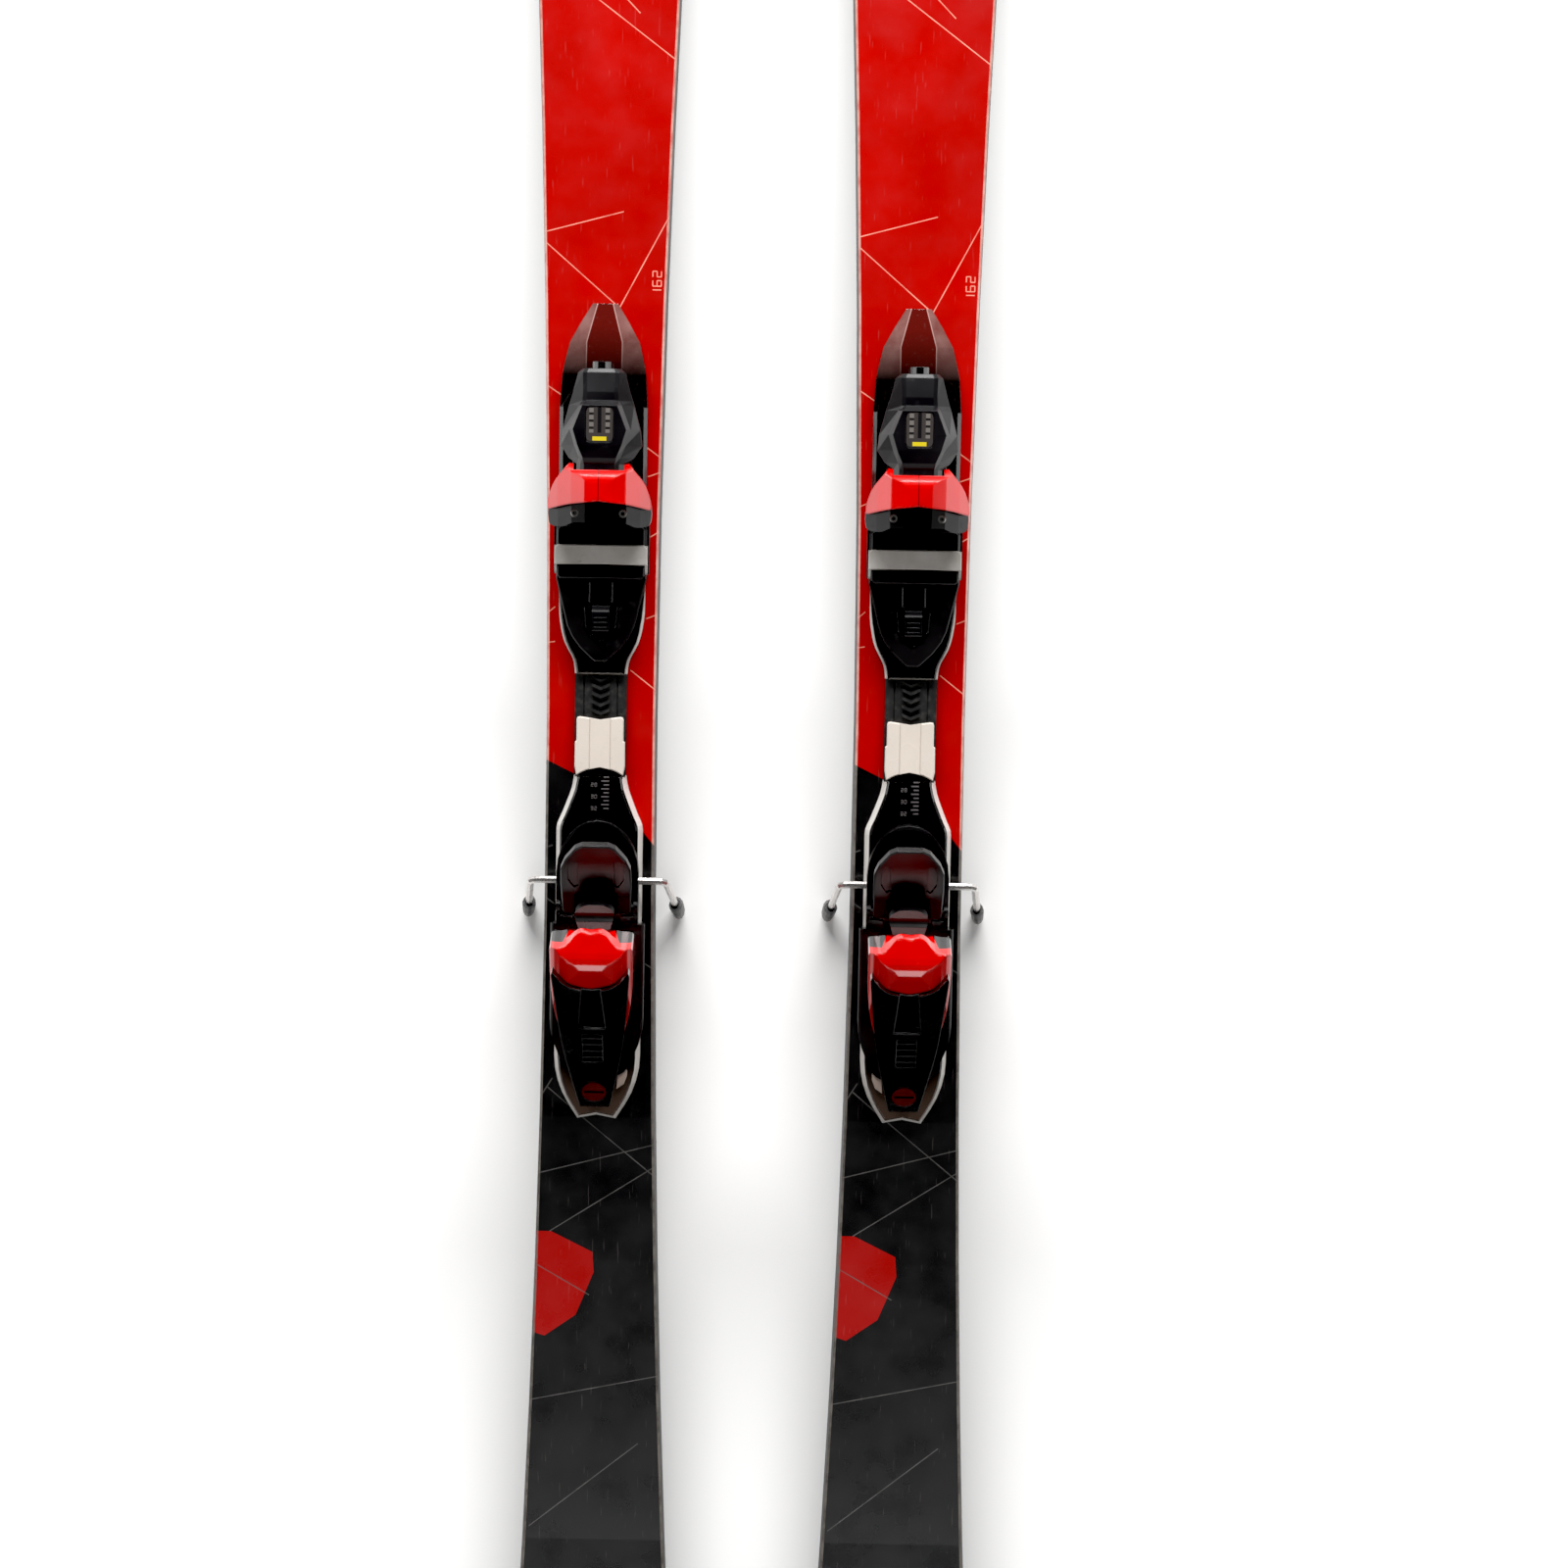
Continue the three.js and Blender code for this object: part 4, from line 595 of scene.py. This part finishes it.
def translucent_red_knob():
    """Dark red polycarbonate adjusting screw: deep and glossy, with a little light let through."""
    material, tree, place = blank_material("dark_red_polycarbonate_knob")
    drift = add(tree, "ShaderNodeTexNoise", {
        "Vector": place, "Scale": 1 / (5 * MM), "Detail": 3.0, "Roughness": 0.55,
    })
    shader = add(tree, "ShaderNodeBsdfPrincipled", {
        "Base Color": add(tree, "ShaderNodeMix", {
            "Factor": drift, FIRST: "#4A0905", SECOND: "#6E0F08",
        }, data_type="RGBA"),
        "Roughness": add(tree, "ShaderNodeMapRange", {
            "Value": drift, "From Min": 0.3, "From Max": 0.7, "To Min": 0.1, "To Max": 0.22,
        }),
        "IOR": 1.585, "Transmission Weight": 0.25, "Coat Weight": 0.8, "Coat Roughness": 0.05,
    })
    return finish_material(material, tree, shader)


def setting_window():
    """Clear window over the release-setting scale: grey strips with ticks, a dark slot, a yellow band."""
    material, tree, place = blank_material("clear_setting_window")
    low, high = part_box("left_toe_window")
    along = add(tree, "ShaderNodeSeparateXYZ", {0: place})
    part = add(tree, "ShaderNodeMapRange", {
        "Value": along.outputs["Y"], "From Min": low[1], "From Max": high[1],
    })
    # both windows share one drawing: fold the two skis' x onto one
    across = add(tree, "ShaderNodeMath", {
        0: add(tree, "ShaderNodeMath", {0: along.outputs["X"]}, operation="ABSOLUTE"), 1: HANDS["right"],
    }, operation="SUBTRACT")
    side = add(tree, "ShaderNodeMath", {0: across}, operation="ABSOLUTE")
    slot = add(tree, "ShaderNodeMath", {0: side, 1: 1.2 * MM}, operation="LESS_THAN")
    strip = add(tree, "ShaderNodeMath", {0: side, 1: 5.2 * MM, 2: 1.4 * MM}, operation="COMPARE")
    # ticks across the strips, about 4.5 mm apart
    ticks = add(tree, "ShaderNodeTexWave", {"Vector": place, "Scale": 70}, bands_direction="Y")
    marked = add(tree, "ShaderNodeMath", {
        0: strip,
        1: add(tree, "ShaderNodeMath", {0: ticks.outputs["Fac"], 1: 0.72}, operation="GREATER_THAN"),
    }, operation="MULTIPLY")
    colour = add(tree, "ShaderNodeMix", {
        "Factor": strip, FIRST: "#3A3634", SECOND: "#6A6561",
    }, data_type="RGBA")
    colour = add(tree, "ShaderNodeMix", {
        "Factor": marked, FIRST: colour, SECOND: "#1B1A1A",
    }, data_type="RGBA")
    colour = add(tree, "ShaderNodeMix", {"Factor": slot, FIRST: colour, SECOND: "#151315"}, data_type="RGBA")
    colour = add(tree, "ShaderNodeMix", {
        "Factor": add(tree, "ShaderNodeMath", {0: part, 1: 0.26}, operation="LESS_THAN"),
        FIRST: colour, SECOND: "#3A3635",
    }, data_type="RGBA")
    band = add(tree, "ShaderNodeMath", {0: part, 1: 0.09, 2: 0.06}, operation="COMPARE")
    narrow = add(tree, "ShaderNodeMath", {0: side, 1: 4.5 * MM}, operation="LESS_THAN")
    colour = add(tree, "ShaderNodeMix", {
        "Factor": add(tree, "ShaderNodeMath", {0: band, 1: narrow}, operation="MULTIPLY"),
        FIRST: colour, SECOND: "#C9B424",
    }, data_type="RGBA")
    shader = add(tree, "ShaderNodeBsdfPrincipled", {
        "Base Color": colour, "Roughness": 0.1, "IOR": 1.585, "Coat Weight": 1.0, "Coat Roughness": 0.03,
        "Normal": add(tree, "ShaderNodeBump", {
            "Height": add(tree, "ShaderNodeTexNoise", {
                "Vector": place, "Scale": 1 / (3 * MM), "Detail": 3.0, "Roughness": 0.55,
            }),
            "Distance": 0.02 * MM,
        }),
    })
    return finish_material(material, tree, shader)


def rubber_band():
    """Moulded rubber band: deep black and matt, with dust in its grooves."""
    material, tree, place = blank_material("moulded_rubber_band")
    dust = add(tree, "ShaderNodeTexNoise", {
        "Vector": place, "Scale": 1 / (4 * MM), "Detail": 5.0, "Roughness": 0.55,
    })
    shader = add(tree, "ShaderNodeBsdfPrincipled", {
        "Base Color": add(tree, "ShaderNodeMix", {
            "Factor": add(tree, "ShaderNodeMapRange", {"Value": dust, "From Min": 0.5, "From Max": 0.8}),
            FIRST: "#050505", SECOND: "#2A2725",
        }, data_type="RGBA"),
        "Roughness": add(tree, "ShaderNodeMapRange", {
            "Value": dust, "From Min": 0.3, "From Max": 0.7, "To Min": 0.5, "To Max": 0.7,
        }),
        "IOR": 1.52, "Normal": add(tree, "ShaderNodeBump", {"Height": dust, "Distance": 0.08 * MM}),
    })
    return finish_material(material, tree, shader)


def finishes():
    """Every shared finish by a short name."""
    return {
        "sidewall": abs_sidewall(),
        "base": sintered_polyethylene(),
        "edge": ground_steel_edge(),
        "pale": moulded_plastic(
            "pale_nylon_rim", "#D6D2CD", "#A39C94", roughness=0.36, texture_mm=0.9, depth_mm=0.04, coat=0.3),
        "cream": moulded_plastic(
            "cream_nylon_clip", "#CDC3B9", "#8F8376", roughness=0.3, texture_mm=0.9, depth_mm=0.05, coat=0.4),
        "worn_cream": moulded_plastic(
            "worn_cream_nylon", "#9A8D83", "#6B6058", roughness=0.4, texture_mm=0.9, depth_mm=0.05, coat=0.1),
        "scale": moulded_plastic(
            "moulded_scale_bars", "#4A4546", "#6A6462", roughness=0.4, texture_mm=0.9, depth_mm=0.01),
        "smoke": smoked_polycarbonate(),
        "black": moulded_plastic(
            "satin_black_nylon", "#070607", "#232122", roughness=0.3, texture_mm=0.7, depth_mm=0.01,
            coat=0.1),
        "gloss_black": moulded_plastic(
            "gloss_black_abs", "#050505", "#232122", roughness=0.15, texture_mm=1.5, depth_mm=0.008,
            coat=0.8, scuff=0.12, edge_mm=1.0),
        "grey": moulded_plastic(
            "spark_textured_grey_nylon", "#0D0C0E", "#2C2A2E", roughness=0.34, texture_mm=0.5, depth_mm=0.01,
            shine=0.25, edge_mm=0.8),
        "red_cup": polished_red_abs("cup"),
        "red_visor": polished_red_abs("visor"),
        "pad": scuffed_ptfe(),
        "wire": steel("bright_drawn_wire", "#E4E2E0", "#B9B4AF", roughness=0.22, stretch=(1, 1, 0.2)),
        "toe_knob": moulded_plastic(
            "polished_black_knob", "#050505", "#2A2829", roughness=0.12, texture_mm=1.5, depth_mm=0.01,
            coat=1.0, scuff=0.1),
        "screw": steel("zinc_plated_screw", "#C9C8C4", "#93918D", roughness=0.24, stretch=(1, 1, 1)),
        "foot": worn_brake_foot(),
        "knob": translucent_red_knob(),
        "window": setting_window(),
        "rubber": rubber_band(),
    }


NODE_FINISH = {
    "core": "sidewall", "base": "base", "steel_edge": "edge",
    "front_plate": "pale", "front_cover": "smoke", "rear_plate": "pale", "rear_cover": "smoke",
    "centre_band": "rubber", "centre_clip": "cream",
    "toe_slider": "black", "toe_latch": "grey", "afd_pad": "pad", "toe_pivot": "screw",
    "toe_housing": "grey", "toe_window": "window", "toe_din_screw": "toe_knob",
    "toe_wings": "black", "toe_cover": "red_visor",
    "heel_slider": "black", "brake_base": "black", "heel_tower": "black",
    "brake_pedal": "black", "brake_wire": "wire", "brake_foot_left": "foot", "brake_foot_right": "foot",
    "heel_cup": "red_cup", "heel_treadle": "black", "heel_lever": "gloss_black", "heel_din_screw": "knob",
}


def dress_nodes(finish):
    """Give every CAD node its finish; each ski's topsheet is drawn from its own centre line."""
    for hand in HANDS:
        for node, name in NODE_FINISH.items():
            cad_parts[f"{hand}_{node}"].material_slots[0].material = finish[name]
        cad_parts[f"{hand}_topsheet"].material_slots[0].material = lacquered_topsheet(hand)


# ------------------------------------------------------------------ small pieces over the CAD

def place_piece(name, body, shape, material):
    """Turn a bmesh into a named piece that rides on a body."""
    mesh = bpy.data.meshes.new(name)
    bmesh.ops.recalc_face_normals(shape, faces=shape.faces)
    shape.to_mesh(mesh)
    shape.free()
    piece = bpy.data.objects.new(name, mesh)
    bpy.context.scene.collection.objects.link(piece)
    mesh.materials.append(material)
    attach(piece, body)
    return piece


def add_prism(shape, outline, low, high, chamfer):
    """Add a block over an outline, its upper edge chamfered; all in metres."""
    middle = Vector((sum(p[0] for p in outline), sum(p[1] for p in outline))) / len(outline)
    rings = []
    for z, inset in ((low, 0.0), (high - chamfer, 0.0), (high, chamfer)):
        ring = []
        for p in outline:
            out = Vector(p) - middle
            moved = middle + out * max(0.0, 1 - inset / max(out.length, 1e-6))
            ring.append(shape.verts.new((moved.x, moved.y, z)))
        rings.append(ring)
    count = len(outline)
    for lower, upper in zip(rings, rings[1:]):
        for i in range(count):
            j = (i + 1) % count
            shape.faces.new((lower[i], lower[j], upper[j], upper[i]))
    shape.faces.new(rings[0][::-1])
    shape.faces.new(rings[-1])


def add_rib(shape, start, end, width, low, high):
    """Add a chamfered straight rib between two (x, y) places."""
    along = (Vector(end) - Vector(start)).normalized()
    side = Vector((-along.y, along.x)) * width / 2
    corners = [Vector(start) + side, Vector(start) - side, Vector(end) - side, Vector(end) + side]
    chamfer = min(width * 0.3, (high - low) * 0.6)
    add_prism(shape, [tuple(c) for c in corners], low, high, chamfer)


def add_turned(shape, x, y, profile, sides=24):
    """Add a body turned about an upright line through (x, y), from (radius, height) points."""
    rings = []
    for radius, height in profile:
        ring = []
        for k in range(sides):
            a = 2 * math.pi * k / sides
            ring.append(shape.verts.new((x + radius * math.cos(a), y + radius * math.sin(a), height)))
        rings.append(ring)
    for lower, upper in zip(rings, rings[1:]):
        for i in range(sides):
            j = (i + 1) % sides
            shape.faces.new((lower[i], lower[j], upper[j], upper[i]))
    shape.faces.new(rings[0][::-1])
    shape.faces.new(rings[-1])


def screw_profile(radius, low, high):
    """A pan-head screw with a round socket, as (radius, height) points."""
    return [(radius, low), (radius, high - 0.2 * radius), (0.85 * radius, high), (0.5 * radius, high),
            (0.42 * radius, high - 0.35 * radius), (0.1 * radius, high - 0.4 * radius)]


def wing_screws(hand, finish):
    """Two plated screws in the toe wings, behind the visor."""
    centre = HANDS[hand]
    low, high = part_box(f"{hand}_toe_wings")
    shape = bmesh.new()
    y = low[1] + 9.0 * MM
    top = high[2] - 1.6 * MM
    head = screw_profile(2.7 * MM, top - 1.4 * MM, top)
    for side in (-1, 1):
        add_turned(shape, centre + side * 15.3 * MM, y, head)
    place_piece(f"{hand}_wing_screws", f"{hand}_toe_head", shape, finish["screw"])


def base_screws(hand, finish):
    """Two blackened screws at the rear corners of the brake's base."""
    centre = HANDS[hand]
    low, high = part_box(f"{hand}_brake_base")
    shape = bmesh.new()
    y = low[1] + 3.0 * MM
    top = high[2] - 5.4 * MM
    head = screw_profile(2.3 * MM, top - 1.0 * MM, top)
    for side in (-1, 1):
        add_turned(shape, centre + side * 20.2 * MM, y, head)
    place_piece(f"{hand}_base_screws", f"{hand}_heel_carriage", shape, finish["gloss_black"])


def slider_ribs(hand, finish):
    """Raised shield and channel edges moulded on the toe carriage."""
    centre = HANDS[hand]
    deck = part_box(f"{hand}_toe_slider")[1][2] - 6.3 * MM
    bed_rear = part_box(f"{hand}_toe_latch")[1][1]
    # outlines in mm from the ski's centre line and the rear of the boot rest's bed
    shield = [(16.5, -2), (10.6, -19), (9.6, -31), (0.4, -40.5)]
    channel = [(7.4, -1.5), (7.4, -15)]
    shape = bmesh.new()
    for side in (-1, 1):
        for outline, width, rise in ((shield, 1.1, 0.8), (channel, 0.9, 1.0)):
            points = [(centre + side * x * MM, bed_rear + y * MM) for x, y in outline]
            for start, end in zip(points, points[1:]):
                add_rib(shape, start, end, width * MM, deck - 0.1 * MM, deck + rise * MM)
    place_piece(f"{hand}_slider_ribs", f"{hand}_toe_carriage", shape, finish["gloss_black"])


def latch_grips(hand, finish):
    """Three grip bars across the raised end of the size latch."""
    centre = HANDS[hand]
    low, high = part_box(f"{hand}_toe_latch")
    shape = bmesh.new()
    for k in range(3):
        y = low[1] + (4.2 + 3.1 * k) * MM
        ends = [(centre - 4.4 * MM, y), (centre + 4.4 * MM, y)]
        add_rib(shape, *ends, 1.1 * MM, high[2] - 0.1 * MM, high[2] + 0.5 * MM)
    place_piece(f"{hand}_latch_grips", f"{hand}_toe_latch", shape, finish["grey"])


# The figures of the scale by their strokes, and each stroke's ends in a grid one wide and two high.
FIGURES = {"0": "abcdef", "2": "abged", "3": "abgcd", "8": "abcdefg"}
STROKES = {"a": (0, 2, 1, 2), "b": (1, 2, 1, 1), "c": (1, 1, 1, 0), "d": (0, 0, 1, 0),
           "e": (0, 0, 0, 1), "f": (0, 1, 0, 2), "g": (0, 1, 1, 1)}


def length_scale(hand, finish):
    """Moulded scale for the sole length: long and short bars with small figures beside them."""
    centre = HANDS[hand]
    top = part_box(f"{hand}_rear_cover")[1][2]
    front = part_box(f"{hand}_centre_clip")[0][1]
    shape = bmesh.new()
    for k in range(9):
        y = front - (1.0 + 2.6 * k) * MM
        reach = 5.2 if k % 2 else 3.6
        ends = [(centre + (6.4 - reach) * MM, y), (centre + 6.4 * MM, y)]
        add_rib(shape, *ends, 1.0 * MM, top - 0.05 * MM, top + 0.2 * MM)
    for row, figures in enumerate(("28", "30", "32")):
        for column, figure in enumerate(figures):
            for x0, y0, x1, y1 in (STROKES[s] for s in FIGURES[figure]):
                left = centre + (-5.4 + 2.3 * column) * MM
                foot = front - (7.2 + 7.8 * row) * MM
                start = (left + 1.4 * x0 * MM, foot + 1.1 * y0 * MM)
                end = (left + 1.4 * x1 * MM, foot + 1.1 * y1 * MM)
                add_rib(shape, start, end, 0.5 * MM, top - 0.05 * MM, top + 0.2 * MM)
    place_piece(f"{hand}_length_scale", f"{hand}_ski", shape, finish["scale"])


def length_pointer(hand, finish):
    """The pale pointer of the heel carriage, on the inner side of the lever's tail."""
    centre = HANDS[hand]
    inward = -1 if centre > 0 else 1
    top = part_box(f"{hand}_rear_cover")[1][2]
    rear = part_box(f"{hand}_heel_slider")[0][1]
    outline = [(13.6, -9.4), (18.6, -6.0), (20.6, -0.6), (20.8, 3.4), (14.6, 3.4), (14.0, -3.4)]
    shape = bmesh.new()
    corners = [(centre + inward * x * MM, rear + y * MM) for x, y in outline]
    add_prism(shape, corners, top + 0.2 * MM, top + 3.6 * MM, 0.6 * MM)
    place_piece(f"{hand}_length_pointer", f"{hand}_heel_carriage", shape, finish["worn_cream"])


def small_pieces(finish):
    """Make both skis' small pieces."""
    for hand in HANDS:
        for maker in (wing_screws, base_screws, slider_ribs, latch_grips, length_scale, length_pointer):
            maker(hand, finish)


# ------------------------------------------------------------------ studio

def stage_floor():
    """A plain pale floor under the brake feet."""
    mesh = bpy.data.meshes.new("studio_floor")
    half = 8.0
    corners = [(-half, -half, 0), (half, -half, 0), (half, half, 0), (-half, half, 0)]
    mesh.from_pydata(corners, [], [(0, 1, 2, 3)])
    floor = bpy.data.objects.new("studio_floor", mesh)
    bpy.context.scene.collection.objects.link(floor)
    material, tree, place = blank_material("matt_white_paper")
    shade = add(tree, "ShaderNodeTexNoise", {"Vector": place, "Scale": 1 / (400 * MM), "Roughness": 0.55})
    shader = add(tree, "ShaderNodeBsdfPrincipled", {
        "Base Color": add(tree, "ShaderNodeMix", {
            "Factor": shade, FIRST: "#F6F5F4", SECOND: "#F9F9F8",
        }, data_type="RGBA"),
        "Roughness": 0.9, "Specular IOR Level": 0.1,
    })
    floor.data.materials.append(finish_material(material, tree, shader))


def soft_light(name, place, target, size, power):
    """A rectangular softbox aimed at a place, its sides in metres and its power in watts."""
    data = bpy.data.lights.new(name, "AREA")
    data.shape = "RECTANGLE"
    data.size, data.size_y = size
    data.energy = power
    light = bpy.data.objects.new(name, data)
    light.location = place
    light.rotation_euler = (Vector(target) - Vector(place)).to_track_quat("-Z", "Y").to_euler()
    bpy.context.scene.collection.objects.link(light)


def studio_light():
    """A strong softbox past the tips, one past the tails and dim ones on either side."""
    world = bpy.data.worlds.new("studio_surround")
    world.use_nodes = True
    background = world.node_tree.nodes["Background"]
    background.inputs["Color"].default_value = linear("#FFFFFF")
    background.inputs["Strength"].default_value = 0.08
    bpy.context.scene.world = world
    middle = (0, BOOT_Y, 0.05)
    soft_light("left_softbox", (-2.1, 0.05, 0.85), middle, (0.6, 2.8), 9)
    soft_light("right_softbox", (2.1, 0.05, 0.85), middle, (0.6, 2.8), 9)
    soft_light("tip_softbox", (0.0, 2.9, 1.75), middle, (3.4, 0.9), 235)
    soft_light("tail_softbox", (0.0, -2.3, 2.2), middle, (3.4, 0.9), 24)


def print_levels():
    """The levels of a catalogue print: white paper burnt out and blacks closed up."""
    view = bpy.context.scene.view_settings
    view.view_transform = "Standard"
    view.use_curve_mapping = True
    view.curve_mapping.black_level = (0.009, 0.009, 0.009)
    view.curve_mapping.white_level = (0.84, 0.84, 0.84)
    view.curve_mapping.update()


def camera():
    """Nearly straight down over the bindings, tipped a little towards the tails."""
    distance = 2.0
    tilt = math.radians(5.9)
    roll = math.radians(1.0)
    view_width = 1.038
    sensor = 36
    target = Vector((0.0195, -0.1348, 0.058))
    back = Vector((0, math.sin(tilt), math.cos(tilt)))
    up = Vector((-math.sin(roll), math.cos(roll), 0))
    up = (up - back * up.dot(back)).normalized()
    right = up.cross(back)
    data = bpy.data.cameras.new("camera")
    data.sensor_width = sensor
    data.lens = sensor * distance / view_width
    data.clip_start = 0.05
    obj = bpy.data.objects.new("camera", data)
    turned = Matrix((right, up, back)).transposed().to_4x4()
    obj.matrix_world = Matrix.Translation(target + back * distance) @ turned
    bpy.context.scene.collection.objects.link(obj)
    bpy.context.scene.camera = obj


# ------------------------------------------------------------------ making

camera()
stage_floor()
studio_light()
finish = finishes()
dress_nodes(finish)
small_pieces(finish)
print_levels()
